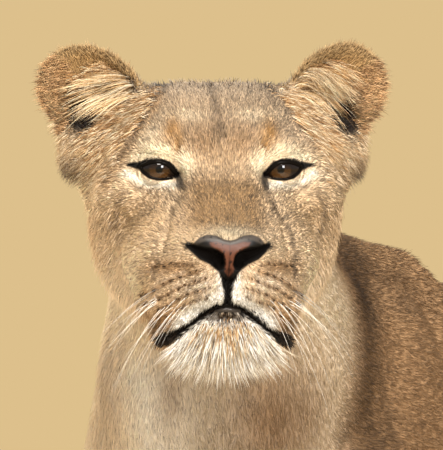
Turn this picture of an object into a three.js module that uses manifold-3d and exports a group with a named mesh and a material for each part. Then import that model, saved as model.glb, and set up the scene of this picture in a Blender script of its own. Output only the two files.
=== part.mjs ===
// A life-size standing lioness, as a still museum model, divided where a person would name its parts.
// The body stands along Y with its rump towards +Y, and the head is turned to its own left, towards +X.
// The forms are written as fields: the distance from a point to a smooth blend of eggs and tapered limbs.
// Rays cast from a line inside each form find its skin, and rings of those points make the solids.
// All sizes are in millimetres, with the coat, and +Z is up.
import * as THREE from "three";
import { mergeVertices } from "three/addons/utils/BufferGeometryUtils.js";
import Module from "manifold-3d";

const wasm = await Module();
wasm.setup();

// Driving sizes.
const gap = 0.3; // between parts that meet
const withersHeight = 960;
const backHeight = 882; // of the saddle behind the withers
const croupHeight = 908;
const sternumHeight = 468;
const rumpY = 852; // the rearmost point of the buttocks, behind the withers at y = 0
const headPlace = new THREE.Vector3(248, -504, 1012); // midway between the eyes
const headTurn = 39.5; // degrees to the left of the body's own line
const eyeSpacing = 112; // between the eyes' centres
const eyeRadius = 20;
const earRadius = 55;
// How far each foot stands off square.
const stride = { foreLeft: -35, foreRight: 45, hindLeft: 55, hindRight: -60 };
const tailRadius = 21;

// Fields. Each is a function of x, y, z that is negative inside its form.

// An ellipsoid, tilted nose down by a number of degrees about X.
function egg([cx, cy, cz], [rx, ry, rz], tilt = 0) {
  const c = Math.cos(THREE.MathUtils.degToRad(tilt));
  const s = Math.sin(THREE.MathUtils.degToRad(tilt));
  return (x, y, z) => {
    const dx = x - cx;
    const dy = c * (y - cy) + s * (z - cz);
    const dz = c * (z - cz) - s * (y - cy);
    const k = Math.hypot(dx / rx, dy / ry, dz / rz);
    const g = Math.hypot(dx / (rx * rx), dy / (ry * ry), dz / (rz * rz));
    return g < 1e-9 ? -Math.min(rx, ry, rz) : (k * (k - 1)) / g;
  };
}

// A tapered rod with round ends, flattened sideways where flat is under 1.
function limb([ax, ay, az], [bx, by, bz], ra, rb, flat = 1) {
  const [ux, uy, uz] = [(bx - ax) / flat, by - ay, bz - az];
  const length2 = ux * ux + uy * uy + uz * uz;
  return (x, y, z) => {
    const [px, py, pz] = [(x - ax) / flat, y - ay, z - az];
    const t = Math.min(1, Math.max(0, (px * ux + py * uy + pz * uz) / length2));
    const distance = Math.hypot(px - t * ux, py - t * uy, pz - t * uz);
    return (distance - (ra + t * (rb - ra))) * (0.5 + 0.5 * flat);
  };
}

// One form out of several, with each hollow between them filled to a depth of about k / 4.
function blend(k, ...forms) {
  return (x, y, z) => {
    let d = forms[0](x, y, z);
    for (let i = 1; i < forms.length; i++) {
      const e = forms[i](x, y, z);
      const h = Math.max(k - Math.abs(d - e), 0) / k;
      d = Math.min(d, e) - (h * h * k) / 4;
    }
    return d;
  };
}

const mirrored = (form) => (x, y, z) => form(Math.abs(x), y, z);

// The head's own frame: x to its left, y back from the eyes, z up.
const headFrame = new THREE.Matrix4()
  .makeTranslation(headPlace)
  .multiply(new THREE.Matrix4().makeRotationZ(THREE.MathUtils.degToRad(headTurn)));
const turnCos = Math.cos(THREE.MathUtils.degToRad(headTurn));
const turnSin = Math.sin(THREE.MathUtils.degToRad(headTurn));
const inHead = (form) => (x, y, z) => {
  const [dx, dy] = [x - headPlace.x, y - headPlace.y];
  return form(turnCos * dx + turnSin * dy, turnCos * dy - turnSin * dx, z - headPlace.z);
};
const fromHead = (x, y, z) => new THREE.Vector3(x, y, z).applyMatrix4(headFrame);

// The head, in its own frame, mirrored across x = 0.
const upperHead = blend(
  18,
  egg([0, 72, 15], [76, 100, 68]), // brain case
  egg([40, 72, 27], [50, 80, 54]), // temple muscles, which flatten the crown
  limb([8, -96, -77], [14, 30, 0], 22, 46), // bridge of the nose and forehead
  egg([40, 0, 20], [32, 25, 22]), // brow
  egg([82, 30, -24], [36, 46, 32]), // cheekbone
  egg([74, 64, -56], [40, 60, 64]), // jaw muscle
  egg([70, 44, 6], [36, 46, 36]), // temple, behind the eye
  egg([50, -4, -78], [42, 70, 46]), // flesh of the cheek
  limb([26, -76, -80], [44, -10, -44], 28, 32), // side of the muzzle
  limb([18, -98, -100], [42, -66, -118], 22, 29), // whisker pad
  egg([0, -88, -112], [30, 32, 24]), // lips
  egg([0, -110, -77], [31, 15, 18]), // nose leather
  limb([80, 86, 36], [110, 92, 22], 40, 33), // root of the ear
  limb([98, 76, 8], [88, 64, -40], 40, 26), // long fur of the cheek
);
const lowerHead = blend(
  18,
  egg([0, -76, -144], [42, 34, 26]), // chin
  limb([34, -72, -138], [52, -40, -147], 16, 18), // corner of the lips
  egg([0, -64, -156], [50, 33, 31]), // beard
  limb([24, -66, -138], [60, 46, -96], 24, 38), // jaw bone
  egg([0, 30, -100], [66, 90, 48]), // throat
);
const headForm = mirrored(blend(8, upperHead, lowerHead));

// The neck, from between the shoulders to the back of the head.
const neckRoot = [0, -50, 786];
const neckMiddle = [90, -266, 880];
const neckTop = fromHead(0, 120, -38).toArray();
const neckForm = blend(
  30,
  limb(neckRoot, neckMiddle, 146, 108),
  limb(neckMiddle, neckTop, 108, 102),
  limb([0, -156, 712], [70, -262, 808], 137, 115), // throat muscles, down to the breast
);

// The trunk.
const trunkForm = mirrored(
  blend(
    46,
    egg([0, 110, 690], [146, 300, 690 - sternumHeight + 8]), // rib cage
    limb([32, -42, withersHeight - 50], [20, 102, withersHeight - 66], 51, 48), // withers
    egg([0, -112, 700], [124, 96, 132]), // breast
    egg([0, 400, 690], [144, 260, 184]), // belly
    limb([0, 170, backHeight - 84], [0, 600, backHeight - 76], 80, 84), // loin
    egg([0, 672, croupHeight - 130], [112, 150, 128]), // croup
    egg([46, 776, 742], [52, rumpY - 776, 88]), // buttock
    limb([0, 740, croupHeight - 60], [0, 838, croupHeight - 92], 46, 32), // root of the tail
    egg([0, 500, 574], [78, 150, 52]), // loose skin under the flank
  ),
);
const bodyForm = blend(60, trunkForm, neckForm);

// The toes of a paw: the inner two reach further.
function toes(centre, spread, reach, thick) {
  return [-1, -0.34, 0.34, 1].map((place) => {
    const [x, y, z] = centre;
    const tip = [x + place * spread, y - reach + (Math.abs(place) > 0.5 ? 14 : 0), thick - 3];
    return limb([x + 0.8 * place * spread, y, z], tip, thick, thick);
  });
}

// A foreleg of the left side, with its foot moved by step along Y.
function forelegForm(step) {
  const wrist = [112, -52 + step * 0.8, 168];
  const knuckles = [112, -82 + step, 62];
  const ball = [112, -92 + step, 44];
  return blend(
    30,
    limb([78, 0, 829], [114, -102, 692], 72, 80, 0.82), // shoulder blade
    limb([114, -114, 676], [122, -12, 512], 84, 64, 0.84), // upper arm
    egg([118, 20, 600], [60, 84, 116]), // back of the arm
    limb([122, -14, 486], wrist, 66, 38),
    limb([122, -44, 430], [118, -48 + step * 0.5, 300], 54, 40), // muscle of the forearm
    limb(wrist, knuckles, 38, 40),
    blend(7, egg([112, -90 + step, 31], [50, 54, 39]), ...toes(ball, 36, 60, 24)),
  );
}

// A hind leg of the left side.
function hindLegForm(step) {
  const knee = [116, 566 + step * 0.3, 506];
  const hock = [108, 776 + step * 0.9, 262];
  const heel = [108, 800 + step * 0.9, 284];
  const ball = [108, 706 + step, 42];
  return blend(
    30,
    egg([98, 676, 706], [74, 138, 150], -18), // haunch
    limb([98, 650, 640], knee, 98, 66, 0.74), // front of the thigh
    limb([88, 784, 706], [114, 706 + step * 0.3, 500], 62, 52, 0.86), // back of the thigh
    limb(knee, hock, 70, 34, 0.88), // shank
    limb([116, 650 + step * 0.4, 460], [108, 758 + step * 0.8, 330], 52, 26), // calf
    limb([108, 780 + step * 0.9, 256], heel, 30, 23),
    limb(hock, [108, 722 + step, 58], 33, 35),
    blend(7, egg([108, 704 + step, 29], [44, 52, 36]), ...toes(ball, 31, 56, 22)),
  );
}

// Rings and solids.

// Where a ray from inside a form first comes out of it.
function exit(form, from, along, level) {
  const step = 6;
  const longest = 420;
  const at = (t) => form(from.x + t * along.x, from.y + t * along.y, from.z + t * along.z) - level;
  let outside = step;
  while (outside < longest && at(outside) < 0) outside += step;
  let inside = outside - step;
  for (let i = 0; i < 14; i++) {
    const middle = (inside + outside) / 2;
    if (at(middle) < 0) inside = middle;
    else outside = middle;
  }
  return from.clone().addScaledVector(along, outside);
}

// A ring of points round a station: rays go out across its line, leaning lean radians along it.
function ring(form, station, sides, lean = 0, level = 0) {
  const { centre, across, up, ahead } = station;
  return Array.from({ length: sides }, (_, i) => {
    const angle = (2 * Math.PI * i) / sides;
    const ray = across
      .clone()
      .multiplyScalar(Math.cos(angle) * Math.cos(lean))
      .addScaledVector(up, Math.sin(angle) * Math.cos(lean))
      .addScaledVector(ahead, Math.sin(lean));
    return exit(form, centre, ray, level);
  });
}

const middleOf = (points) =>
  points.reduce((sum, p) => sum.add(p), new THREE.Vector3()).divideScalar(points.length);

// A closed solid through rings of equal length, with a point at the middle of each end.
function loft(rings, firstTip = middleOf(rings[0]), lastTip = middleOf(rings.at(-1))) {
  const sides = rings[0].length;
  const places = rings.flat();
  places.push(firstTip, lastTip);
  const faces = [];
  const [first, last] = [places.length - 2, places.length - 1];
  const top = (rings.length - 1) * sides;
  for (let i = 0; i < sides; i++) {
    const next = (i + 1) % sides;
    for (let r = 0; r < top; r += sides) {
      faces.push(r + i, r + next, r + sides + next, r + i, r + sides + next, r + sides + i);
    }
    faces.push(first, next, i, last, top + i, top + next);
  }
  return solid(places, faces);
}

function solid(places, faces) {
  const vertProperties = new Float32Array(places.flatMap((p) => [p.x, p.y, p.z]));
  const make = (order) =>
    new wasm.Manifold(new wasm.Mesh({ numProp: 3, vertProperties, triVerts: new Uint32Array(order) }));
  const made = make(faces);
  return made.volume() > 0 ? made : make(faces.toReversed());
}

// A three.js geometry as a solid, placed by a matrix.
function solidOf(geometry, matrix = new THREE.Matrix4()) {
  const bare = new THREE.BufferGeometry().setAttribute("position", geometry.getAttribute("position"));
  if (geometry.index) bare.setIndex(geometry.index);
  const merged = mergeVertices(bare.applyMatrix4(matrix), 1e-3);
  const triVerts = new Uint32Array(merged.index.array);
  return new wasm.Manifold(
    new wasm.Mesh({ numProp: 3, vertProperties: merged.attributes.position.array, triVerts }),
  );
}

// The largest of the bodies that a cut leaves.
const largest = (made) => made.decompose().reduce((a, b) => (a.volume() > b.volume() ? a : b));

function geometryOf(made) {
  const mesh = made.getMesh();
  const geometry = new THREE.BufferGeometry();
  geometry.setAttribute("position", new THREE.BufferAttribute(mesh.vertProperties.slice(), 3));
  geometry.setIndex(new THREE.BufferAttribute(mesh.triVerts.slice(), 1));
  geometry.computeVertexNormals();
  return geometry;
}

// Materials, by what the surface is.
const material = (color, roughness) => new THREE.MeshStandardMaterial({ color, roughness, metalness: 0 });
const materials = {
  coat: material(0xb48d62, 0.85),
  paleCoat: material(0xd9c09a, 0.85),
  earCoat: material(0xb98a58, 0.85),
  tuftCoat: material(0x4a3423, 0.85),
  leather: material(0x8a4f42, 0.45),
  eye: material(0x4a2a10, 0.1),
};

const lioness = new THREE.Group();
function add(name, made, kind) {
  const mesh = new THREE.Mesh(geometryOf(made), materials[kind]);
  mesh.name = name;
  lioness.add(mesh);
}

// The spine: a curve from the rump to the back of the head, whose rings carry the trunk and the neck.
const headBackY = 104; // of the plane between neck and head, behind the eyes
const spine = new THREE.CatmullRomCurve3(
  [
    [0, 760, 765],
    [0, 600, 745],
    [0, 380, 700],
    [0, 150, 700],
    [4, -30, 745],
    [48, -190, 826],
    [112, -322, 916],
    fromHead(0, headBackY, -30).toArray(),
  ].map(([x, y, z]) => new THREE.Vector3(x, y, z)),
);
const headAhead = fromHead(0, -1, 0).sub(headPlace);

function spineStation(t) {
  const ahead = spine.getTangentAt(t);
  ahead.lerp(headAhead, THREE.MathUtils.smoothstep(t, 0.8, 1)).normalize();
  const across = new THREE.Vector3().crossVectors(new THREE.Vector3(0, 0, 1), ahead).normalize();
  return { centre: spine.getPointAt(t), across, up: ahead.clone().cross(across), ahead };
}

// One length of the body, from t0 to t1 along the spine.
function bodyLength(t0, t1, count, form, sides, level = 0) {
  return Array.from({ length: count + 1 }, (_, i) =>
    ring(form, spineStation(t0 + ((t1 - t0) * i) / count), sides, 0, level),
  );
}

const shifted = (points, by) => points.map((p) => p.clone().add(by));
const bodySides = 22;
const splits = { hips: 0.27, belly: 0.5, chest: 0.76 }; // along the spine: where each length ends
const wholeHead = blend(30, inHead(headForm), bodyForm);

function bodySolids(level) {
  const rumpStation = spineStation(0);
  const leans = [-80, -60, -40, -20];
  const rump = leans.map((lean) =>
    ring(bodyForm, rumpStation, bodySides, THREE.MathUtils.degToRad(lean), level),
  );
  const rumpTip = exit(bodyForm, rumpStation.centre, rumpStation.ahead.clone().negate(), level);
  const start = (t) => spineStation(t).ahead.multiplyScalar(gap);
  const hips = [...rump, ...bodyLength(0, splits.hips, 5, bodyForm, bodySides, level)];
  const belly = bodyLength(splits.hips, splits.belly, 5, bodyForm, bodySides, level);
  const chest = bodyLength(splits.belly, splits.chest, 7, bodyForm, bodySides, level);
  const neck = bodyLength(splits.chest, 1, 6, wholeHead, bodySides, level);
  for (const [rings, t] of [[belly, splits.hips], [chest, splits.belly], [neck, splits.chest]]) {
    rings[0] = shifted(rings[0], start(t));
  }
  return { hips: loft(hips, rumpTip), belly: loft(belly), chest: loft(chest), neck: loft(neck) };
}

// The head: rays fan out from a line behind the face and lean forward, until the last points at the nose.
const fine = { rings: 26, sides: 34 };
const coarse = { rings: 14, sides: 18 };
function headSolid(level, { rings: count, sides } = fine) {
  const ahead = headAhead;
  const across = new THREE.Vector3().crossVectors(new THREE.Vector3(0, 0, 1), ahead).normalize();
  const up = ahead.clone().cross(across);
  const stationAt = (s) => ({
    centre: fromHead(0, headBackY - gap - s * 150, -30 - 46 * s),
    across,
    up,
    ahead,
  });
  const rings = Array.from({ length: count }, (_, i) => {
    const s = i / count;
    return ring(wholeHead, stationAt(s), sides, (Math.PI / 2) * Math.pow(s, 1.2), level);
  });
  return loft(rings, undefined, exit(wholeHead, stationAt(1).centre, ahead, level));
}

// An ear, in the head's frame: cupped slices stacked from its root to its round tip.
const ear = {
  depth: 37, // of the cup
  wall: 8,
  outward: 16, // degrees that the cup faces away from the nose
  slant: 0.3, // how far each slice stands outwards for its height
  narrow: 0.95, // across, against its height
};
const earStance = {
  left: { side: 1, middle: [109, 92, 69], splay: 30 }, // splay: degrees that the tip leans outwards
  right: { side: -1, middle: [-108, 92, 67], splay: 18 },
};
function earSolid({ side, middle, splay }) {
  const slices = 8;
  const half = 6;
  const rings = Array.from({ length: slices + 1 }, (_, i) => {
    const height = -earRadius * 0.72 + earRadius * 1.71 * Math.sin((Math.PI / 2) * (i / slices));
    const width = Math.sqrt(Math.max(earRadius ** 2 - height ** 2, 9)) * (height < 0 ? 0.94 : 1);
    const depth = ear.depth * (0.25 + 0.75 * (width / earRadius)) - 6 * Math.max(0, height / earRadius);
    const wall = Math.min(ear.wall, width * 0.45);
    const arc = (a, d, from, to) =>
      Array.from({ length: half }, (_, j) => {
        const angle = from + ((to - from) * j) / (half - 1);
        return new THREE.Vector3(a * Math.sin(angle), d * Math.cos(angle) - depth / 2, height);
      });
    return [
      ...arc(width, depth, -Math.PI / 2, Math.PI / 2),
      ...arc(width - wall, Math.max(depth - wall, 1), Math.PI / 2, -Math.PI / 2).map((p) =>
        p.add(new THREE.Vector3(0, -wall * 0.25, 0)),
      ),
    ];
  });
  const turn = new THREE.Matrix4()
    .makeTranslation(...middle)
    .multiply(new THREE.Matrix4().makeShear(0, 0, 0, 0, side * ear.slant, 0))
    .multiply(new THREE.Matrix4().makeScale(ear.narrow, 1, 1))
    .multiply(new THREE.Matrix4().makeRotationY(THREE.MathUtils.degToRad(side * splay)))
    .multiply(new THREE.Matrix4().makeRotationZ(THREE.MathUtils.degToRad(side * ear.outward)));
  const placed = headFrame.clone().multiply(turn);
  return loft(rings.map((r) => r.map((p) => p.applyMatrix4(placed))));
}

// An eye: a ball with the low dome of the cornea in front.
function eyeSolid(side, radius) {
  const ball = new THREE.SphereGeometry(radius, 12, 7);
  const place = ball.getAttribute("position");
  const corneaHalfAngle = 0.72;
  for (let i = 0; i < place.count; i++) {
    const p = new THREE.Vector3().fromBufferAttribute(place, i);
    const away = Math.acos(Math.min(1, -p.y / radius));
    const rise = away < corneaHalfAngle ? 2 * (1 - (away / corneaHalfAngle) ** 2) : 0;
    p.y -= rise;
    place.setXYZ(i, p.x, p.y, p.z);
  }
  const at = new THREE.Matrix4().makeTranslation((side * eyeSpacing) / 2, 0, 0);
  return solidOf(ball, headFrame.clone().multiply(at));
}

// A closed outline drawn in the head's front view as [x, z], from y0 to y1.
function frontBlock(outline, y0, y1) {
  const shape = new THREE.Shape(outline.map(([x, z]) => new THREE.Vector2(x, z)));
  const block = new THREE.ExtrudeGeometry(shape, { depth: y1 - y0, bevelEnabled: false });
  const stand = new THREE.Matrix4().set(1, 0, 0, 0, 0, 0, -1, y1, 0, 1, 0, 0, 0, 0, 0, 1);
  return solidOf(block, headFrame.clone().multiply(stand));
}

// Head, jaw, nose, ears and eyes.
const lipHalf = [[0, -124], [22, -139], [40, -149], [58, -158], [74, -162]];
const noseHalf = [[0, -100], [9, -91], [18, -85], [33, -75], [41, -67], [36, -61], [20, -56], [0, -61]];
const openingHalf = [[82, 5], [72, 8], [59, 9], [47, 4], [41, -4], [48, -8], [59, -9], [73, -5]];

// The left half of an outline, and then its mirror image back to where it began.
const bothHalves = (half) => [...half, ...half.slice(1, -1).toReversed().map(([x, z]) => [-x, z])];
const mouthOutline = (by) => [
  ...lipHalf.toReversed().map(([x, z]) => [-x, z - by]),
  ...lipHalf.slice(1).map(([x, z]) => [x, z - by]),
  [74, -210],
  [-74, -210],
];
const noseOutline = (by) =>
  bothHalves(noseHalf.map(([x, z]) => [x + Math.sign(x) * by, z + Math.sign(z + 75) * by]));
const mouthBack = -34;
const noseBack = -98;
const noseFront = -140;

const body = bodySolids(0);
const neckCutter = bodySolids(2 * gap).neck;
const headCutter = headSolid(2 * gap);
const sockets = [-1, 1].map((side) => eyeSolid(side, eyeRadius + gap)).reduce((a, b) => a.add(b));
const openings = [-1, 1]
  .map((side) => frontBlock(openingHalf.map(([x, z]) => [side * x, z]), -60, 0))
  .reduce((a, b) => a.add(b));
const rawHead = headSolid(0).subtract(sockets).subtract(openings);
const jaw = rawHead.intersect(frontBlock(mouthOutline(gap), noseFront, mouthBack - gap));
const nose = headSolid(0, coarse).intersect(frontBlock(noseOutline(0), noseFront, noseBack));
const nostrils = [-1, 1]
  .map((side) => {
    const hole = new THREE.SphereGeometry(1, 8, 6);
    const place = new THREE.Matrix4()
      .makeTranslation(side * 19, -124, -77)
      .multiply(new THREE.Matrix4().makeScale(11, 13, 8));
    return solidOf(hole, headFrame.clone().multiply(place));
  })
  .reduce((a, b) => a.add(b));
const head = rawHead
  .subtract(frontBlock(mouthOutline(0), noseFront, mouthBack))
  .subtract(frontBlock(noseOutline(gap), noseFront, noseBack + gap));
add("head", largest(head), "coat");
add("lower_jaw", largest(jaw), "paleCoat");
add("nose", largest(nose.subtract(nostrils)), "leather");
for (const [side, name] of [[1, "left"], [-1, "right"]]) {
  const cup = earSolid(earStance[name]).subtract(headCutter).subtract(neckCutter);
  add(`ear_${name}`, largest(cup), "earCoat");
  add(`eye_${name}`, eyeSolid(side, eyeRadius), "eye");
}

// Legs: rings at level heights round a line down each leg.
const legSides = 12;
const heights = {
  fore: { top: 900, elbow: 470, wrist: 130 },
  hind: { top: 850, knee: 470, hock: 130 },
};

function legLine(points, step) {
  return (z) => {
    const next = points.findIndex((p) => p[2] <= z);
    const [b, a] = [points[Math.max(next, 1)], points[Math.max(next, 1) - 1]];
    const t = Math.min(1, Math.max(0, (a[2] - z) / (a[2] - b[2])));
    const foot = (p) => (p[2] > 480 ? 0 : step * (1 - p[2] / 480));
    const lerp = (i) => a[i] + t * (b[i] - a[i]);
    return new THREE.Vector3(lerp(0), lerp(1) + foot([0, 0, z]), z);
  };
}

function levels(from, to, count) {
  return Array.from({ length: count + 1 }, (_, i) => from + ((to - from) * i) / count);
}

// One length of a leg. A positive level makes the hollow that it sits in, a gap larger all round.
function legPiece(form, line, zs, side, sides = legSides, level = 0) {
  const rings = zs.map((z) => {
    const station = {
      centre: line(z),
      across: new THREE.Vector3(1, 0, 0),
      up: new THREE.Vector3(0, 1, 0),
      ahead: new THREE.Vector3(0, 0, 1),
    };
    return ring(form, station, sides, 0, level).map((p) => p.setX(side * p.x));
  });
  if (level > 0) {
    rings.unshift(shifted(rings[0], new THREE.Vector3(0, 0, gap)));
    rings.push(shifted(rings.at(-1), new THREE.Vector3(0, 0, -gap)));
  }
  return loft(rings);
}

const foreLine = [
  [84, -10, 900],
  [106, -62, 740],
  [118, -56, 620],
  [122, -18, 470],
  [113, -48, 170],
  [112, -92, 0],
];
const hindLine = [
  [84, 706, 850],
  [96, 690, 700],
  [114, 650, 500],
  [114, 664, 420],
  [108, 770, 270],
  [108, 722, 90],
  [108, 700, 0],
];
const pawLevels = [128, 102, 80, 63, 48, 34, 20, 8, 0];

const legCutters = [];
for (const [side, name] of [[1, "left"], [-1, "right"]]) {
  const foreStep = side > 0 ? stride.foreLeft : stride.foreRight;
  const hindStep = side > 0 ? stride.hindLeft : stride.hindRight;
  const fore = forelegForm(foreStep);
  const hind = hindLegForm(hindStep);
  const foreAt = legLine(foreLine, foreStep);
  const hindAt = legLine(hindLine, hindStep);
  const { fore: f, hind: h } = heights;
  const outerHalf = [side, 0, 0];
  const lengths = {
    shoulder: [fore, foreAt, levels(f.top, f.elbow + gap, 10)],
    forearm: [fore, foreAt, levels(f.elbow, f.wrist + gap, 7)],
    forepaw: [fore, foreAt, pawLevels.map((z) => (z * f.wrist) / 128), 17],
    thigh: [hind, hindAt, levels(h.top, h.knee + gap, 9)],
    shank: [hind, hindAt, levels(h.knee, h.hock + gap, 9)],
    hindpaw: [hind, hindAt, pawLevels.map((z) => (z * h.hock) / 128), 17],
  };
  for (const [part, [form, line, zs, sides]] of Object.entries(lengths)) {
    add(`${part}_${name}`, legPiece(form, line, zs, side, sides).trimByPlane(outerHalf, gap / 2), "coat");
    if (!part.endsWith("paw")) {
      legCutters.push(legPiece(form, line, zs, side, sides, 1.3 * gap).trimByPlane(outerHalf, -gap / 2));
    }
  }
}
const legCutter = legCutters.reduce((a, b) => a.add(b));
for (const name of ["hips", "belly", "chest", "neck"]) {
  add(name, largest(body[name].subtract(legCutter)), "coat");
}

// Tail: three lengths of one tapering curve, the last swelling into the tuft.
const tailCurve = new THREE.CatmullRomCurve3(
  [
    [0, 800, croupHeight - 78],
    [0, 876, croupHeight - 118],
    [8, 918, 690],
    [18, 930, 540],
    [26, 936, 390],
    [30, 968, 262],
    [26, 1040, 176],
    [18, 1122, 168],
  ].map(([x, y, z]) => new THREE.Vector3(x, y, z)),
);
const tailSides = 9;
function tailWidth(t) {
  const stem = THREE.MathUtils.lerp(tailRadius + 8, 13, Math.min(1, t / 0.5));
  const tuft = 15 * Math.exp(-(((t - 0.88) / 0.07) ** 2));
  return (stem + tuft) * Math.sqrt(Math.max(0.02, Math.min(1, (1.004 - t) / 0.06)));
}
function tailLength(t0, t1, count) {
  const rings = Array.from({ length: count + 1 }, (_, i) => {
    const t = t0 + ((t1 - t0) * i) / count;
    const ahead = tailCurve.getTangentAt(t);
    const across = new THREE.Vector3(1, 0, 0).addScaledVector(ahead, -ahead.x).normalize();
    const up = ahead.clone().cross(across);
    const radius = tailWidth(t);
    return Array.from({ length: tailSides }, (_, j) => {
      const angle = (2 * Math.PI * j) / tailSides;
      return tailCurve
        .getPointAt(t)
        .addScaledVector(across, radius * Math.cos(angle))
        .addScaledVector(up, radius * Math.sin(angle));
    });
  });
  return loft(rings);
}
const tailGap = gap / tailCurve.getLength();
const hipsCutter = bodySolids(gap).hips;
add("tail_base", largest(tailLength(0, 0.36, 7).subtract(hipsCutter)), "coat");
add("tail_middle", tailLength(0.36 + tailGap, 0.72, 6), "coat");
add("tail_tuft", tailLength(0.72 + tailGap, 1, 8), "tuftCoat");

// The origin goes to the middle of the base of the whole animal's box.
const box = new THREE.Box3().setFromObject(lioness);
const middle = box.getCenter(new THREE.Vector3());
lioness.position.set(-middle.x, -middle.y, -box.min.z);

export default lioness;
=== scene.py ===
import math
import bpy
import bmesh
import numpy as np
from mathutils.bvhtree import BVHTree
from mathutils import Matrix, Vector


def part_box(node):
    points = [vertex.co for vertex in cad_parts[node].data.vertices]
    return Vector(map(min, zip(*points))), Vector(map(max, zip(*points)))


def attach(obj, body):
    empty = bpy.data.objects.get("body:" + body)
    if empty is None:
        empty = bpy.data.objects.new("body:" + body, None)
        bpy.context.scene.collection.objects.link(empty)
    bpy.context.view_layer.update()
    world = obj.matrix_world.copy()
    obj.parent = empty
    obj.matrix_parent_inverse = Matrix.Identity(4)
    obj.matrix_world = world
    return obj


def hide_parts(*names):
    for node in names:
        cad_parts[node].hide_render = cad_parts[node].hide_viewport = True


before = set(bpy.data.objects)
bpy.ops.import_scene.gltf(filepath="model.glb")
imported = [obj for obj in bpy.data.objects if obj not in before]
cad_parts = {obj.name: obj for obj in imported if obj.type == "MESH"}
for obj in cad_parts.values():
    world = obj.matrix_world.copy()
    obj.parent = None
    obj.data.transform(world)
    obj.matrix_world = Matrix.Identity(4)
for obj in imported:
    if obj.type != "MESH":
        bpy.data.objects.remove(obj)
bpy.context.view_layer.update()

rng = np.random.default_rng(11)
print("frame loaded")

# The forms below are in millimetres from the floor under the withers: x to her left, y to the rump.
def boxMiddle(node):
    low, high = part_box(node)
    return (np.array(low) + np.array(high)) / 2

eyeLeft, eyeRight = boxMiddle("eye_left"), boxMiddle("eye_right")
headSide = (eyeLeft - eyeRight) / np.linalg.norm(eyeLeft - eyeRight)
headBack = np.array([-headSide[1], headSide[0], 0.0])
eyeMiddle = (eyeLeft + eyeRight) / 2 + headBack * 0.001
headAxes = np.stack([headSide, headBack, [0.0, 0.0, 1.0]])
headPlace = np.array([248.0, -504.0, 1012.0])
bodyPlace = eyeMiddle * 1000 - headPlace

def toBody(points):
    return points * 1000 - bodyPlace

def toWorld(points):
    return (points + bodyPlace) / 1000

def toHead(points):
    return (points - headPlace) @ headAxes.T

def fromHead(points):
    return np.atleast_2d(points) @ headAxes + headPlace

def headPoint(x, y, z):
    return toWorld(fromHead([x, y, z]))[0]

# The camera's side in degrees, the rest in metres. Right and down place its aim from between the eyes.
view = {"azimuth": 35.0, "distance": 7.0, "frameHeight": 0.414, "right": 0.0013, "down": 0.0507}

def makeCamera():
    azimuth = math.radians(view["azimuth"])
    toCamera = Vector((math.sin(azimuth), -math.cos(azimuth), 0))
    right = Vector((math.cos(azimuth), math.sin(azimuth), 0))
    aim = Vector(eyeMiddle) + right * view["right"] - Vector((0, 0, view["down"]))
    data = bpy.data.cameras.new("camera")
    data.sensor_width = 36
    data.lens = 36 * view["distance"] / view["frameHeight"]
    data.clip_end = 60
    camera = bpy.data.objects.new("camera", data)
    camera.location = aim + toCamera * view["distance"]
    camera.rotation_euler = (aim - camera.location).to_track_quat("-Z", "Y").to_euler()
    bpy.context.collection.objects.link(camera)
    bpy.context.scene.camera = camera

makeCamera()

def linear(colour):
    value = colour.lstrip("#")
    parts = np.array([int(value[i:i + 2], 16) / 255 for i in (0, 2, 4)])
    return np.where(parts <= 0.04045, parts / 12.92, ((parts + 0.055) / 1.055) ** 2.4)

def addNode(tree, kind, settings=None, links=None):
    node = tree.nodes.new(kind)
    for name, value in (settings or {}).items():
        if hasattr(node, name) and name not in node.inputs:
            setattr(node, name, value)
        else:
            node.inputs[name].default_value = value
    for name, source in (links or {}).items():
        tree.links.new(source, node.inputs[name])
    return node

def newMaterial(name):
    material = bpy.data.materials.new(name)
    material.use_nodes = True
    tree = material.node_tree
    tree.nodes.clear()
    shader = addNode(tree, "ShaderNodeBsdfPrincipled")
    addNode(tree, "ShaderNodeOutputMaterial", links={"Surface": shader.outputs[0]})
    return material, tree, shader

def smooth(low, high, x):
    # Rises from 0 at low to 1 at high, or falls where high is the smaller.
    t = np.clip((x - low) / (high - low), 0, 1)
    return t * t * (3 - 2 * t)

def bump(a, b, centre, width, height, turn=0.0):
    c, s = math.cos(math.radians(turn)), math.sin(math.radians(turn))
    u, v = c * (a - centre[0]) + s * (b - centre[1]), c * (b - centre[1]) - s * (a - centre[0])
    return np.exp(-(u / width) ** 2 - (v / height) ** 2)

# Each form is the distance to a shape, in millimetres, negative inside.
def egg(p, centre, radii, tilt=0.0):
    c, s = math.cos(math.radians(tilt)), math.sin(math.radians(tilt))
    d = p - np.array(centre, float)
    d = np.stack([d[:, 0], c * d[:, 1] + s * d[:, 2], c * d[:, 2] - s * d[:, 1]], axis=1)
    radii = np.array(radii, float)
    k = np.linalg.norm(d / radii, axis=1)
    slope = np.linalg.norm(d / radii ** 2, axis=1) + 1e-9
    return k * (k - 1) / slope

def limb(p, a, b, ra, rb, flat=1.0):
    scale = np.array([1 / flat, 1, 1])
    a, b = np.array(a, float), np.array(b, float)
    along = (b - a) * scale
    d = (p - a) * scale
    t = np.clip(d @ along / (along @ along), 0, 1)
    distance = np.linalg.norm(d - t[:, None] * along, axis=1)
    return (distance - (ra + t * (rb - ra))) * (0.5 + 0.5 * flat)

def blend(k, *forms):
    d = forms[0]
    for e in forms[1:]:
        h = np.maximum(k - np.abs(d - e), 0) / k
        d = np.minimum(d, e) - h * h * k / 4
    return d

def mirrored(p):
    return np.column_stack([np.abs(p[:, 0]), p[:, 1:]])

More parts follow.
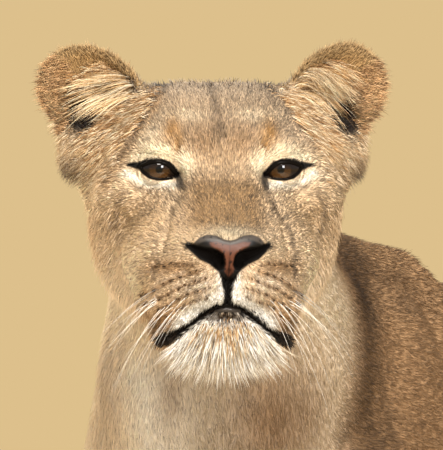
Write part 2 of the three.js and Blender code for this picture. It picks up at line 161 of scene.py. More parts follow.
head = {
    "brain case": ([0, 72, 15], [76, 100, 68]),
    "temple": ([40, 72, 27], [50, 80, 54]),
    "brow": ([40, 0, 20], [32, 25, 22]),
    "cheekbone": ([82, 30, -24], [36, 46, 32]),
    "jaw muscle": ([74, 64, -56], [40, 60, 64]),
    "behind the eye": ([70, 44, 6], [36, 46, 36]),
    "flesh of the cheek": ([50, -4, -78], [42, 70, 46]),
    "lips": ([0, -88, -112], [30, 32, 24]),
    "nose leather": ([0, -110, -77], [31, 15, 18]),
}
# Sizes in mm and outward in degrees. Slant leans the shell, and narrow is the share of its width kept.
earForm = {"radius": 55.5, "depth": 37, "wall": 8, "outward": 16, "slant": 0.3, "narrow": 0.95}
earStance = {1: ([109, 92, 69], 30), -1: ([-108, 92, 67], -18)}  # middle, and lean of the tip in degrees

def earAxes(side):
    turnY = Matrix.Rotation(math.radians(earStance[side][1]), 3, "Y")
    turnZ = Matrix.Rotation(math.radians(side * earForm["outward"]), 3, "Z")
    return np.array(turnY @ turnZ)

def toEar(h, side):
    d = h - np.array(earStance[side][0])
    d[:, 0] = (d[:, 0] - side * earForm["slant"] * d[:, 2]) / earForm["narrow"]
    return d @ earAxes(side)

def earDistance(h, side):
    e = toEar(h, side)
    r, depth, wall = earForm["radius"], earForm["depth"], earForm["wall"]
    width = np.sqrt(np.maximum(r ** 2 - e[:, 2] ** 2, 9))
    rim = -depth / 2 * (0.25 + 0.75 * width / r) + 3 * np.maximum(0, e[:, 2] / r)
    outer = egg(e, [0, -depth / 2, 0], [r, depth, r])
    inner = egg(e, [0, -depth / 2 - 2, 0], [r - wall, depth - wall, r - wall + 1])
    return -blend(7, -outer, inner, e[:, 1] - rim)

def headDistance(h):
    m = mirrored(h)
    upper = blend(
        18,
        *[egg(m, *form) for form in head.values()],
        limb(m, [8, -96, -77], [14, 30, 0], 22, 46),
        limb(m, [26, -76, -80], [44, -10, -44], 28, 32),
        limb(m, [18, -98, -100], [42, -66, -118], 22, 29),
        limb(m, [80, 86, 36], [110, 92, 22], 40, 33),
        limb(m, [98, 76, 8], [88, 64, -40], 37, 24),
    )
    lower = blend(
        18,
        egg(m, [0, -76, -144], [42, 34, 26]),
        limb(m, [34, -72, -138], [52, -40, -147], 16, 18),
        limb(m, [24, -66, -138], [60, 46, -96], 24, 38),
        egg(m, [0, 30, -100], [66, 90, 48]),
    )
    return blend(9, upper, lower, earDistance(h, 1), earDistance(h, -1))

withersHeight, backHeight, croupHeight = 960, 882, 908

def trunkDistance(p):
    m = mirrored(p)
    return blend(
        46,
        egg(m, [0, 110, 690], [146, 300, 230]),
        limb(m, [32, -42, withersHeight - 50], [20, 102, withersHeight - 66], 51, 48),
        egg(m, [0, -112, 700], [124, 96, 132]),
        egg(m, [0, 400, 690], [144, 260, 184]),
        limb(m, [0, 170, backHeight - 84], [0, 600, backHeight - 76], 80, 84),
        egg(m, [0, 672, croupHeight - 130], [112, 150, 128]),
        egg(m, [46, 776, 742], [52, 76, 88]),
        limb(m, [0, 740, croupHeight - 60], [0, 838, croupHeight - 92], 46, 32),
        egg(m, [0, 500, 574], [78, 150, 52]),
    )

neckTop = fromHead([0, 120, -38])[0]
neckMiddle = [90, -266, 880]

def neckDistance(p):
    return blend(
        30,
        limb(p, [0, -50, 786], neckMiddle, 146, 108),
        limb(p, neckMiddle, neckTop, 108, 102),
        limb(p, [0, -156, 712], [70, -262, 808], 137, 115),
    )

stride = {"foreleg": {1: -35, -1: 45}, "hind leg": {1: 55, -1: -60}}

def toeForms(p, centre, spread, reach, thick):
    x, y, z = centre
    forms = []
    for place in (-1, -0.34, 0.34, 1):
        tip = [x + place * spread, y - reach + (14 if abs(place) > 0.5 else 0), thick - 3]
        forms.append(limb(p, [x + 0.8 * place * spread, y, z], tip, thick, thick))
    return forms

def forelegDistance(p, side):
    step = stride["foreleg"][side]
    p = p * [side, 1, 1]
    wrist, knuckles, ball = [112, -52 + step * 0.8, 168], [112, -82 + step, 62], [112, -92 + step, 44]
    return blend(
        30,
        limb(p, [78, 0, 829], [114, -102, 692], 72, 80, 0.82),
        limb(p, [114, -114, 676], [122, -12, 512], 84, 64, 0.84),
        egg(p, [118, 20, 600], [60, 84, 116]),
        limb(p, [122, -14, 486], wrist, 66, 38),
        limb(p, [122, -44, 430], [118, -48 + step * 0.5, 300], 54, 40),
        limb(p, wrist, knuckles, 38, 40),
        blend(7, egg(p, [112, -90 + step, 31], [50, 54, 39]), *toeForms(p, ball, 36, 60, 24)),
    )

def hindLegDistance(p, side):
    step = stride["hind leg"][side]
    p = p * [side, 1, 1]
    knee, hock, ball = [116, 566 + step * 0.3, 506], [108, 776 + step * 0.9, 262], [108, 706 + step, 42]
    return blend(
        30,
        egg(p, [98, 676, 706], [74, 138, 150], -18),
        limb(p, [98, 650, 640], knee, 98, 66, 0.74),
        limb(p, [88, 784, 706], [114, 706 + step * 0.3, 500], 62, 52, 0.86),
        limb(p, knee, hock, 70, 34, 0.88),
        limb(p, [116, 650 + step * 0.4, 460], [108, 758 + step * 0.8, 330], 52, 26),
        limb(p, [108, 780 + step * 0.9, 256], [108, 800 + step * 0.9, 284], 30, 23),
        limb(p, hock, [108, 722 + step, 58], 33, 35),
        blend(7, egg(p, [108, 704 + step, 29], [44, 52, 36]), *toeForms(p, ball, 31, 56, 22)),
    )

def furDepth(p, h):
    # How far the skin lies inside the coat's outline.
    depth = np.full(len(p), 5.5)
    toFace = 1 - smooth(60, 150, h[:, 1])
    depth += toFace * (2.6 - depth)
    muzzle = smooth(-20, -60, h[:, 1]) * toFace
    depth += muzzle * (1.4 - depth)
    leather = egg(mirrored(h), [0, -112, -76], [42, 22, 22])
    depth += smooth(6, 0, leather) * (0.3 - depth)
    ears = np.minimum(earDistance(h, 1), earDistance(h, -1))
    depth += smooth(10, 2, ears) * (1.6 - depth)
    depth += smooth(260, 120, p[:, 2]) * (2.6 - depth)
    return depth

def skinDistance(p):
    h = toHead(p)
    body = blend(60, trunkDistance(p), neckDistance(p))
    limbs = [forelegDistance(p, s) for s in (1, -1)] + [hindLegDistance(p, s) for s in (1, -1)]
    return blend(24, blend(30, headDistance(h), body), *limbs) + furDepth(p, h)

def slopeOf(distance, p, step=0.6):
    slope = np.stack([
        distance(p + np.eye(3)[i] * step) - distance(p - np.eye(3)[i] * step) for i in range(3)
    ], axis=1)
    return slope / (np.linalg.norm(slope, axis=1, keepdims=True) + 1e-9)

# Places on the face are x and z of the head seen from the front, in mm from the middle of the eyes.
face = {
    "eye": [56, 0, 0], "eyeRadius": 20,
    "opening": [(74, 2.6), (69, 5.2), (63, 6.5), (56, 6.3), (50, 4.2), (45.5, 0.4), (41, -5), (46, -6.8),
                (52, -7.7), (59, -7.8), (66, -6.0), (71, -2.2)],
    "outerCorner": [(72, 2.6), (78, 4.2), (84, 4.8)],
    "tearLine": [(41, -4), (39, -10), (38.5, -18)],
    "mouth": [(0, -123), (10, -125), (20, -131.5), (29, -138), (38, -145), (47, -150.5), (56, -155)],
    "philtrum": [(0, -92), (0, -125)],
    "nostril": [(9, -86), (11, -81), (18, -77.5), (27, -74), (36, -69.5)],
    "nose": [(0, -101), (5, -98), (11, -92), (18, -86.5), (27, -82), (34.5, -75), (40.5, -66.5), (35, -69),
             (31.5, -66.5), (27, -62), (20, -59.5), (12, -60.5), (5, -64), (0, -65)],
    "pink": [(0, -98), (4, -93), (5.5, -86), (6.5, -79), (10, -74), (17, -69.5), (18.5, -66.5), (12, -66),
             (6, -68), (0, -69)],
}

muzzleLean = 2.3  # how far the midline has moved to her right at the mouth, in mm

def fromMidline(h):
    return h[:, 0] + np.interp(h[:, 2], [-106, -72, -40], [muzzleLean, 1.0, 0.0])

def insideOf(x, z, outline):
    # Signed distance to a closed outline in the front view, negative inside.
    points = np.array(outline, float)
    nearest = np.full(len(x), 1e9)
    inside = np.zeros(len(x), bool)
    for (x0, z0), (x1, z1) in zip(points, np.roll(points, -1, axis=0)):
        dx, dz = x1 - x0, z1 - z0
        t = np.clip(((x - x0) * dx + (z - z0) * dz) / (dx * dx + dz * dz + 1e-9), 0, 1)
        nearest = np.minimum(nearest, np.hypot(x - x0 - t * dx, z - z0 - t * dz))
        crosses = ((z0 > z) != (z1 > z)) & (x < dx * (z - z0) / (dz if dz else 1e-9) + x0)
        inside ^= crosses
    return np.where(inside, -nearest, nearest)

def strokeDistance(x, z, points):
    # Distance to an open line in the front view, and how far along it the nearest point is, 0 to 1.
    points = np.array(points, float)
    lengths = np.hypot(*np.diff(points, axis=0).T)
    total = lengths.sum()
    nearest, along, sofar = np.full(len(x), 1e9), np.zeros(len(x)), 0.0
    for (x0, z0), (x1, z1), length in zip(points[:-1], points[1:], lengths):
        dx, dz = x1 - x0, z1 - z0
        t = np.clip(((x - x0) * dx + (z - z0) * dz) / (dx * dx + dz * dz), 0, 1)
        d = np.hypot(x - x0 - t * dx, z - z0 - t * dz)
        along = np.where(d < nearest, (sofar + t * length) / total, along)
        nearest = np.minimum(nearest, d)
        sofar += length
    return nearest, along

def halfNose(x, z):
    outline = face["nose"] + [(-a, b) for a, b in face["nose"][::-1][1:-1]]
    return insideOf(x, z, outline)

def eyeSurface(x, z):
    # How far forward the ball, and past its edge the flesh beside it, lies at x, z.
    cx, _, cz = face["eye"]
    r = np.hypot(x - cx, z - cz)
    edge = 18.0
    ball = -np.sqrt(np.maximum(face["eyeRadius"] ** 2 - np.minimum(r, edge) ** 2, 0))
    return ball + np.maximum(r - edge, 0) * 0.75

reliefs = [  # x, z, width, height, turn in degrees, rise in mm
    (40, -20, 3.5, 12, 16, -2.8), (0, -11, 26, 3, 0, -1.0), (42, 34, 9, 9, 0, 2.0),
    (60, 17, 14, 4, 8, 2.2), (60, -16, 18, 5, -8, 1.6), (72, -14, 12, 2.2, -30, -1.2),
    (0, 58, 3, 26, 0, -1.4), (54, -56, 4, 26, 16, -3.2), (50, -104, 12, 16, 0, 3.4),
    (22, -108, 12, 16, 0, 2.2), (0, -110, 3, 14, 0, -3.5), (34, -62, 5, 5, 0, -1.6),
    (92, -40, 6, 26, -24, -1.6), (0, -143, 16, 9, 0, 1.5), (60, -148, 9, 12, 30, -2.0),
    (18, -42, 9, 22, 0, 1.0),
]

def faceDetail(h, normal):
    # Lids, nose, lips and the small rises and hollows, as moves of points in the head's frame.
    across, z = fromMidline(h), h[:, 2]
    x = np.abs(across)
    front = smooth(40, 0, h[:, 1]) * smooth(-0.05, 0.3, -normal[:, 1])
    rise = np.zeros(len(h))
    for cx, cz, width, height, turn, amount in reliefs:
        rise += amount * bump(x, z, (cx, cz), width, height, turn)
    mouth, _ = strokeDistance(x, z, face["mouth"])
    rise -= 4.5 * np.exp(-(mouth / 2.6) ** 2)
    rise += 1.8 * np.exp(-((mouth - 6) / 3.5) ** 2) * (z < np.interp(x, [0, 24, 57], [-125, -136, -157]))
    philtrum, _ = strokeDistance(x, z, face["philtrum"])
    rise -= 2.2 * np.exp(-(philtrum / 1.8) ** 2)
    leather = halfNose(across, z)
    rise += smooth(1.5, -2.5, leather) * 1.6
    rise += 3.0 * bump(x, z, (27, -65), 11, 5)
    nostril, along = strokeDistance(x, z, face["nostril"])
    reach = np.interp(along, [0, 0.25, 0.6, 1], [5.0, 6.5, 4.2, 1.6])
    depth = np.interp(along, [0, 0.3, 0.7, 1], [12, 12, 6, 2])
    rise -= depth * smooth(reach + 1.2, reach - 1.8, nostril)
    h = h + normal * (rise * front)[:, None]
    # The lids wrap the ball, and inside their opening the skin lies behind it.
    opening = insideOf(x, z, face["opening"])
    ball = eyeSurface(x, z)
    near = front * (x > 25) * (x < 110) * (np.abs(z) < 40)
    lid = ball - 2.6 - 0.6 * smooth(0, 6, opening)
    weight = near * np.exp(-(np.maximum(opening, 0) / 5.5) ** 2)
    y = h[:, 1] + weight * (lid - h[:, 1])
    inner = near * smooth(0.9, -0.9, opening)
    covers = (np.hypot(x - face["eye"][0], z - face["eye"][2]) < 20.5) & (near > 0.5) & (opening > 0)
    y = np.where(covers, np.minimum(y, ball - 1.6), y)
    y = y + inner * (ball + 3.5 - y)
    return np.column_stack([h[:, 0], y, h[:, 2]])

fleshNodes = [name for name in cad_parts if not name.startswith("eye_")]
# Voxel and grow are in metres, and tailSink in mm. The body keeps a share of its remeshed faces.
skinShape = {"voxel": 0.0045, "grow": 0.0008, "bodyShare": 0.17, "tailSink": 3.4, "grainsPerMm": 0.9}

def readMesh(mesh):
    points = np.empty(len(mesh.vertices) * 3)
    mesh.vertices.foreach_get("co", points)
    return points.reshape(-1, 3)

def vertexNormals(mesh):
    normals = np.empty(len(mesh.vertices) * 3)
    mesh.vertices.foreach_get("normal", normals)
    return normals.reshape(-1, 3)

def writeMesh(mesh, points):
    mesh.vertices.foreach_set("co", np.ascontiguousarray(points, dtype=np.float32).ravel())
    mesh.update()

def newPiece(name, mesh):
    piece = bpy.data.objects.new(name, mesh)
    bpy.context.collection.objects.link(piece)
    return piece

def applyModifiers(piece):
    graph = bpy.context.evaluated_depsgraph_get()
    mesh = bpy.data.meshes.new_from_object(piece.evaluated_get(graph))
    piece.modifiers.clear()
    piece.data = mesh

def joinedFlesh():
    bm = bmesh.new()
    for name in fleshNodes:
        part = bmesh.new()
        part.from_mesh(bpy.data.objects[name].data)
        bmesh.ops.remove_doubles(part, verts=part.verts, dist=1e-6)
        part.normal_update()
        for v in part.verts:
            v.co += v.normal * skinShape["grow"]
        mesh = bpy.data.meshes.new("part")
        part.to_mesh(mesh)
        bm.from_mesh(mesh)
        part.free()
    mesh = bpy.data.meshes.new("skin")
    bm.to_mesh(mesh)
    bm.free()
    return mesh

def settle(mesh, distance, rounds):
    # Points move onto the form. The tail isn't in it, and stays.
    for _ in range(rounds):
        p = toBody(readMesh(mesh))
        d = distance(p)
        pull = 1 - smooth(6, 13, np.abs(d)) * (p[:, 1] > 700)
        p -= slopeOf(distance, p) * (np.clip(d, -12, 12) * pull)[:, None]
        writeMesh(mesh, toWorld(p))

def relax(mesh, rounds, where=None, strength=0.5):
    bm = bmesh.new()
    bm.from_mesh(mesh)
    verts = list(bm.verts) if where is None else [v for v in bm.verts if where[v.index]]
    for _ in range(rounds):
        bmesh.ops.smooth_vert(bm, verts=verts, factor=strength,
                              use_axis_x=True, use_axis_y=True, use_axis_z=True)
    bm.to_mesh(mesh)
    bm.free()

def refine(mesh, inRegion):
    # Splits the faces whose points all lie in a region into four.
    bm = bmesh.new()
    bm.from_mesh(mesh)
    chosen = inRegion(toHead(toBody(np.array([v.co[:] for v in bm.verts]))))
    edges = [e for e in bm.edges if chosen[e.verts[0].index] and chosen[e.verts[1].index]]
    bmesh.ops.subdivide_edges(bm, edges=edges, cuts=1, use_grid_fill=True)
    bmesh.ops.triangulate(bm, faces=[f for f in bm.faces if len(f.verts) > 4])
    bm.to_mesh(mesh)
    bm.free()

def isFine(h):
    # The eyes, the nose and the corners of the mouth.
    x, y, z = np.abs(h[:, 0]), h[:, 1], h[:, 2]
    eyes = (y < 8) & (x > 28) & (x < 94) & (z < 22) & (z > -26)
    nose = (y < -66) & (x < 50) & (z < -50) & (z > -150)
    corners = (y < -30) & (x < 66) & (z < -132) & (z > -168)
    return eyes | nose | corners

def makeSkin():
    piece = newPiece("skin", joinedFlesh())
    remesh = piece.modifiers.new("remesh", "REMESH")
    remesh.mode = "VOXEL"
    remesh.voxel_size = skinShape["voxel"]
    applyModifiers(piece)
    h = toHead(toBody(readMesh(piece.data)))
    group = piece.vertex_groups.new(name="body")
    away = np.nonzero((h[:, 1] > 125) | (h[:, 2] < -190))[0]
    group.add([int(i) for i in away], 1.0, "REPLACE")
    thin = piece.modifiers.new("thin", "DECIMATE")
    thin.vertex_group = "body"
    thin.ratio = skinShape["bodyShare"]
    applyModifiers(piece)
    piece.vertex_groups.clear()
    mesh = piece.data
    print("skin remeshed", len(mesh.polygons))
    relax(mesh, 2)
    settle(mesh, skinDistance, 3)
    relax(mesh, 2, strength=0.4)
    settle(mesh, skinDistance, 2)
    refine(mesh, lambda h: (h[:, 1] < 46) & (h[:, 2] > -190))
    settle(mesh, skinDistance, 2)
    refine(mesh, isFine)
    settle(mesh, skinDistance, 2)
    sinkTail(mesh)
    h = toHead(toBody(readMesh(mesh)))
    normal = vertexNormals(mesh) @ headAxes.T
    writeMesh(mesh, toWorld(fromHead(faceDetail(h, normal))))
    mesh.polygons.foreach_set("use_smooth", np.ones(len(mesh.polygons), bool))
    print("skin shaped", len(mesh.polygons))
    return piece

def tailWeight(p):
    return smooth(6, 13, np.abs(skinDistance(p))) * (p[:, 1] > 700)

def sinkTail(mesh):
    p = toBody(readMesh(mesh))
    p -= vertexNormals(mesh) * (tailWeight(p) * skinShape["tailSink"])[:, None]
    writeMesh(mesh, toWorld(p))

skin = makeSkin()
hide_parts(*fleshNodes)
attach(skin, "root")

def unwrapSkin():
    bpy.ops.object.select_all(action="DESELECT")
    skin.select_set(True)
    bpy.context.view_layer.objects.active = skin
    skin.data.uv_layers.new(name="OFBake")
    bpy.ops.object.mode_set(mode="EDIT")
    bpy.ops.mesh.select_all(action="SELECT")
    bpy.ops.uv.smart_project(angle_limit=1.15, island_margin=0.002, scale_to_bounds=True)
    bpy.ops.object.mode_set(mode="OBJECT")

unwrapSkin()
print("skin unwrapped")

# One set of colours for the skin and for every hair on it.
tint = {
    "flank": "#B28E69", "back": "#A5835F", "belly": "#CDB898", "leg": "#B08E68", "paw": "#B89C78",
    "neck": "#EEDABF", "throat": "#F2E8DA", "throatShade": "#B5A795", "neckShade": "#83613F",
    "behindNeck": "#210C04", "cheek": "#DABF9E", "cheekBrown": "#C8AA85", "forehead": "#AC957A",
    "crown": "#9A8B7A", "ochre": "#9E8060", "bridge": "#9E7F5A", "cream": "#EEDBBB", "pale": "#FFF1DB",
    "eyeSpot": "#A47D4E", "muzzle": "#FFFCF6", "muzzleTop": "#D2B491", "noseTop": "#C2B194",
    "padBrown": "#A8835A", "chin": "#EFE8DE", "black": "#070504", "umber": "#352517", "earRim": "#947A56",
    "earInner": "#AF8D5F", "earHollow": "#1E130B", "earBack": "#3A2C20", "tuft": "#2A1D14",
    "nosePink": "#4C2C1E", "noseEdge": "#3A342F", "pad": "#3A2E28",
}

def wave(p, size, seed):
    # Soft uneven patches, from -1 to 1, about size mm across.
    turn = np.random.default_rng(seed).normal(size=(5, 3))
    turn /= np.linalg.norm(turn, axis=1, keepdims=True)
    phase = p @ turn.T * (math.pi / size) + np.arange(5) * 1.7
    one = np.sin(phase[:, 0] + 1.3 * np.sin(phase[:, 3]))
    two = np.sin(phase[:, 1] + 1.1 * np.sin(phase[:, 4]))
    return (one + two + np.sin(phase[:, 2])) / 3

# Each ear's hollow, painted dark as shade, on x and z of the head.
hollowPlace = {1: (120, 52), -1: (118, 55)}

whiskerRows = [  # lines on the pad, from the nose outwards
    [(30, -86), (46, -86), (60, -88)], [(26, -92), (44, -98), (60, -107), (70, -114)],
    [(19, -98), (40, -106), (58, -116), (67, -122)], [(17, -106), (38, -114), (58, -127)],
    [(17, -115), (36, -122), (52, -132)],
]

# Patches of colour: tint, middle, width, height, turn in degrees, strength.
throatSides = [("neckShade", (66, -232), 46, 70, 0, 0.85), ("neckShade", (-92, -215), 16, 60, 0, 0.45)]
throatPatches = [
    ("throat", (-22, -235), 13, 40, 0, 0.5), ("neckShade", (104, -225), 24, 46, 0, 0.4),
    ("neckShade", (-30, -204), 12, 30, 0, 0.45),
]
broadPatches = [
    ("ochre", (18, 24), 26, 20, 0, 0.95), ("bridge", (0, 8), 20, 14, 0, 0.45),
    ("cream", (32, 48), 17, 6, 0, 0.5), ("cheekBrown", (68, -40), 26, 22, 0, 0.85),
]
eyePatches = [
    ("cream", (33, 3), 6.5, 11, 0, 1.1), ("cream", (46, 13), 15, 5, 24, 1.0),
    ("cream", (68, 13), 18, 5, -10, 1.0),
]
browPatches = [("eyeSpot", (39, 22), 4, 8, 14, 1.0), ("umber", (38, 18), 2.6, 5, 14, 0.6)]
# Lines on the face: pale fur under the eye, a dark line down the forehead, and painted shade in the folds
# beside the nose, under the lower lid and on the outer cheek.
creases = {
    "under the eye": [(84, -4), (76, -10), (64, -14), (50, -14.5), (44, -15)],
    "outer cheek": [(86, -20), (93, -32), (95, -46), (88, -62)],
    "beside the nose": [(38, -14), (42, -28), (49, -44), (57, -58), (62, -76), (63, -98)],
    "lower lid": [(82, -13), (71, -19), (58, -22), (48, -21)],
    "forehead": [(-6, 88), (-5, 62), (-1, 28)],
}
# The fold from each ear's root to the cheek, by side, darkened as painted shade.
templeFolds = {
    -1: [(-56, 68), (-74, 36), (-92, 8), (-104, -10)],
    1: [(70, 66), (88, 34), (106, 6), (118, -8)],
}

def frontOf(h):
    # Place on the face, its two halves folded together, and how far a point belongs to its front.
    return np.abs(fromMidline(h)), h[:, 1], h[:, 2], smooth(70, 30, h[:, 1]) * (h[:, 2] > -200)

def headShare(h):
    return smooth(170, 110, h[:, 1]) * smooth(-330, -200, h[:, 2])

def fade(distance, width):
    return np.exp(-(distance / width) ** 2)

def layPatches(lay, share, x, z, patches):
    for name, middle, width, height, turn, strength in patches:
        lay(name, share * bump(x, z, middle, width, height, turn) * strength)

def markBody(lay, p, normal):
    height = p[:, 2]
    lay("back", smooth(0.55, 0.95, normal[:, 2]) * 0.8)
    lay("belly", smooth(-0.2, -0.75, normal[:, 2]) * (height > 380) * 0.9)
    lay("leg", smooth(560, 380, height))
    inward = smooth(0.1, 0.8, -np.sign(p[:, 0]) * normal[:, 0]) * (np.abs(p[:, 0]) > 40)
    lay("belly", inward * smooth(640, 520, height) * 0.75)
    lay("paw", smooth(170, 60, height))
    lay("pad", smooth(-0.5, -0.8, normal[:, 2]) * (height < 14))
    lay("tuft", smooth(330, 255, height) * (p[:, 1] > 900))

def markNeck(lay, p, h, normal, facing):
    x, z = h[:, 0], h[:, 2]
    nearHead = smooth(-134, -214, p[:, 1]) * smooth(560, 640, p[:, 2])
    lay("neck", nearHead)
    nape = smooth(0.1, 0.6, normal @ [-0.2, 0.61, 0.77]) * smooth(-60, 60, h[:, 1])
    lay("flank", nearHead * nape * 0.85)
    onThroat = smooth(-0.1, 0.4, facing) * (p[:, 2] > 600) * smooth(-135, -165, z)
    lay("throatShade", onThroat * smooth(66, 30, np.abs(x - 6)) * 0.75)
    layPatches(lay, onThroat, x, z, throatSides)
    lay("throat", onThroat * fade(x + 52 + 0.12 * (z + 200), 21) * smooth(-160, -195, z))
    layPatches(lay, onThroat, x, z, throatPatches)
    # Painted shade on the body between the neck and her left shoulder.
    y, height = p[:, 1], p[:, 2]
    middle = np.interp(height, [760, 808, 850, 890, 930], [-122, -132, -136, -112, -60])
    spread = np.interp(height, [760, 840, 880, 930], [26, 34, 44, 48])
    depth = np.interp(height, [600, 700, 800, 860, 900, 960], [0.15, 0.4, 0.5, 0.65, 0.9, 0.5])
    lay("behindNeck", fade(y - middle, spread) * depth * smooth(-60, 50, p[:, 0]))
    # Painted shade in the hollow and in the crease between her chest and left shoulder.
    onLeft = smooth(40, 90, p[:, 0])
    lay("umber", onLeft * bump(y, height, (-138, 770), 26, 70) * 0.3)
    lay("umber", onLeft * bump(y, height, (-92, 772), 7, 40, 6) * 0.5)
    # Painted shade on the side of the body just behind the neck.
    lay("behindNeck", bump(y, height, (20, 905), 95, 34) * 0.32 * smooth(0.8, 0.5, normal[:, 2]))

def markFace(lay, p, h):
    x, _, z, front = frontOf(h)
    onHead = headShare(h)
    lay("cheek", onHead)
    lay("neck", onHead * smooth(-56, -110, z) * smooth(56, 84, x) * 0.8)
    lay("forehead", onHead * smooth(14, 40, z) * smooth(105, 60, x))
    lay("crown", onHead * smooth(56, 86, z) * smooth(80, 50, x) * 0.75)
    layPatches(lay, front, x, z, broadPatches)
    lay("bridge", front * smooth(50, 22, x) * smooth(6, -20, z) * smooth(-64, -48, z))
    lay("noseTop", front * bump(x, z, (0, -59), 22, 6.5))
    crescent, _ = strokeDistance(x, z, creases["under the eye"])
    lay("pale", front * fade(crescent, 4.4) * 0.95)
    lay("cream", onHead * bump(h[:, 0], z, (-70, 30), 15, 16) * 0.6)
    layPatches(lay, front, x, z, eyePatches)
    lay("eyeSpot", front * bump(x, z, (44, 35), 7, 12, 10) * (1.05 + 0.2 * wave(p, 7, 55)))
    layPatches(lay, front, x, z, browPatches)
    # Painted shade along the lower edge of the cheekbone.
    outer, _ = strokeDistance(x, z, creases["outer cheek"])
    lay("umber", front * fade(outer, 2.8) * 0.45)

def markMuzzle(lay, p, h):
    x, y, z, front = frontOf(h)
    lay("muzzleTop", front * smooth(-74, -88, z) * smooth(80, 60, x) * 0.9)
    mouth, _ = strokeDistance(x, z, face["mouth"])
    philtrum, _ = strokeDistance(x, z, face["philtrum"])
    above = z > np.interp(x, [0, 20, 56], [-123, -131, -155])
    streak = 0.5 + 0.5 * wave(p, 5.5, 71)
    lay("muzzle", front * bump(x, z, (24, -106), 26, 14) * (0.16 + 0.36 * streak))
    lipEdge = smooth(19, 7, np.minimum(mouth, philtrum + 4)) * smooth(-88, -98, z) * smooth(56, 44, x)
    lay("muzzle", front * above * lipEdge)
    lay("padBrown", front * above * bump(x, z, (34, -114), 20, 12) * 0.3 * smooth(0.45, 0.85, streak))
    lay("padBrown", front * bump(x, z, (48, -89), 18, 5.5) * 0.75)
    lay("padBrown", front * bump(x, z, (56, -138), 10, 11) * 1.2)
    lay("umber", front * bump(x, z, (60, -143), 8, 9) * (0.5 + 0.4 * wave(p, 4, 57)))
    lay("chin", headShare(h) * (1 - above) * smooth(-126, -132, z) * smooth(50, 40, x) * smooth(30, -10, y))
    lay("umber", front * bump(x, z, (0, -133), 18, 6) * (1.2 + 0.4 * wave(p, 3.5, 9)))

def markCreases(lay, p, h):
    across = fromMidline(h)
    x, _, z, front = frontOf(h)
    onHead = headShare(h)
    # Painted shade in the fold beside the nose, stronger on her left side, away from the light.
    beside, _ = strokeDistance(x, z, creases["beside the nose"])
    lay("umber", front * fade(beside, 2.2) * (0.6 + 0.2 * np.sign(across) + 0.25 * wave(p, 9, 44)))
    # Painted shade in the crease below the lower lid.
    lid, _ = strokeDistance(x, z, creases["lower lid"])
    lay("umber", front * fade(lid, 1.6) * (0.32 + 0.3 * wave(p, 6, 33)))
    centre, along = strokeDistance(h[:, 0], z, creases["forehead"])
    broken = 0.75 + 0.4 * wave(p, 7.0, 17)
    lay("umber", onHead * fade(centre, 4.2) * np.interp(along, [0, 0.35, 1], [0.95, 0.75, 0.3]) * broken)
    lay("umber", front * bump(h[:, 0], z, (-2, 28), 7, 9) * 0.55 * broken)
    besideBridge = smooth(-6, -18, z) * smooth(-84, -70, z) * smooth(82, 66, x)
    lay("umber", front * smooth(0.5, 0.85, wave(p, 2.6, 41)) * besideBridge * 0.75)
    # Painted shade in the valley between the forehead and the root of each ear.
    lay("umber", onHead * bump(x, z, (50, 78), 11, 4.5, -20) * (1.2 + 0.3 * wave(p, 5, 19)))
    for side, fold in templeFolds.items():
        temple, _ = strokeDistance(h[:, 0], z, fold)
        # Painted shade in the fold, with pale fur on the ridge beside it.
        lay("padBrown", onHead * fade(temple, 6.5) * 0.75)
        lay("umber", onHead * fade(temple, 2.4) * 0.6)
        ridge, _ = strokeDistance(h[:, 0], z, [(foldX + side * 17, foldZ + 4) for foldX, foldZ in fold])
        lay("cream", onHead * fade(ridge, 11) * 0.6)

def markWhiskerRows(lay, p, h):
    x, _, z, front = frontOf(h)
    mouth, _ = strokeDistance(x, z, face["mouth"])
    shown = front * (mouth > 6)
    for i, (points, strength) in enumerate(zip(whiskerRows, (0.5, 0.65, 0.55, 0.5, 0.3))):
        row, along = strokeDistance(x, z, points)
        beat = 0.5 + 0.5 * np.cos(along * 2 * math.pi * 6 + i)
        uneven = 0.75 + 0.25 * wave(p, 9.0, 20 + i)
        lay("padBrown", shown * fade(row, 1.9) * strength)
        lay("umber", shown * fade(row, 1.5) * smooth(0.5, 0.8, beat) * uneven)

def markEyes(lay, h):
    # Black rims of the lids, the corners and the tear lines.
    x, _, z, front = frontOf(h)
    opening = insideOf(x, z, face["opening"])
    rim = np.where(z > np.interp(x, [40, 74], [-4, 2]), 3.8, 2.2)
    lay("black", front * smooth(rim + 1.0, rim - 0.4, opening))
    corner, along = strokeDistance(x, z, face["outerCorner"])
    lay("black", front * smooth(1.0, -1.0, corner - np.interp(along, [0, 1], [4.6, 1.6])))
    tear, along = strokeDistance(x, z, face["tearLine"])
    lay("black", front * smooth(4.4, 1.8, tear) * (1 - 0.35 * along))

def markNose(lay, p, h):
    x, y, z, _ = frontOf(h)
    pink = insideOf(x, z, face["pink"])
    onNose = smooth(0.8, -0.8, halfNose(fromMidline(h), z)) * (y < -80)
    hump = np.interp(x, [0, 12, 20, 27, 34], [-67, -63.5, -62.5, -65, -70])
    lay("black", onNose)
    lay("noseEdge", onNose * smooth(-3.2, -0.6, z - hump) * smooth(34, 28, x))
    lay("nosePink", onNose * smooth(1.4, -1.2, pink))
    lay("black", onNose * smooth(0.55, 0.75, wave(p, 2.6, 5)) * 0.8)
    lay("black", onNose * smooth(-86, -100, z) * smooth(0, 3, x) * 0.7)
    lay("black", onNose * smooth(0.9, 0.3, x) * smooth(-78, -86, z) * 0.8)
    nostril, along = strokeDistance(x, z, face["nostril"])
    reach = np.interp(along, [0, 0.25, 0.6, 1], [5.5, 7.0, 5.0, 2.6])
    lay("black", (y < -80) * smooth(reach + 1.0, reach - 0.5, nostril))

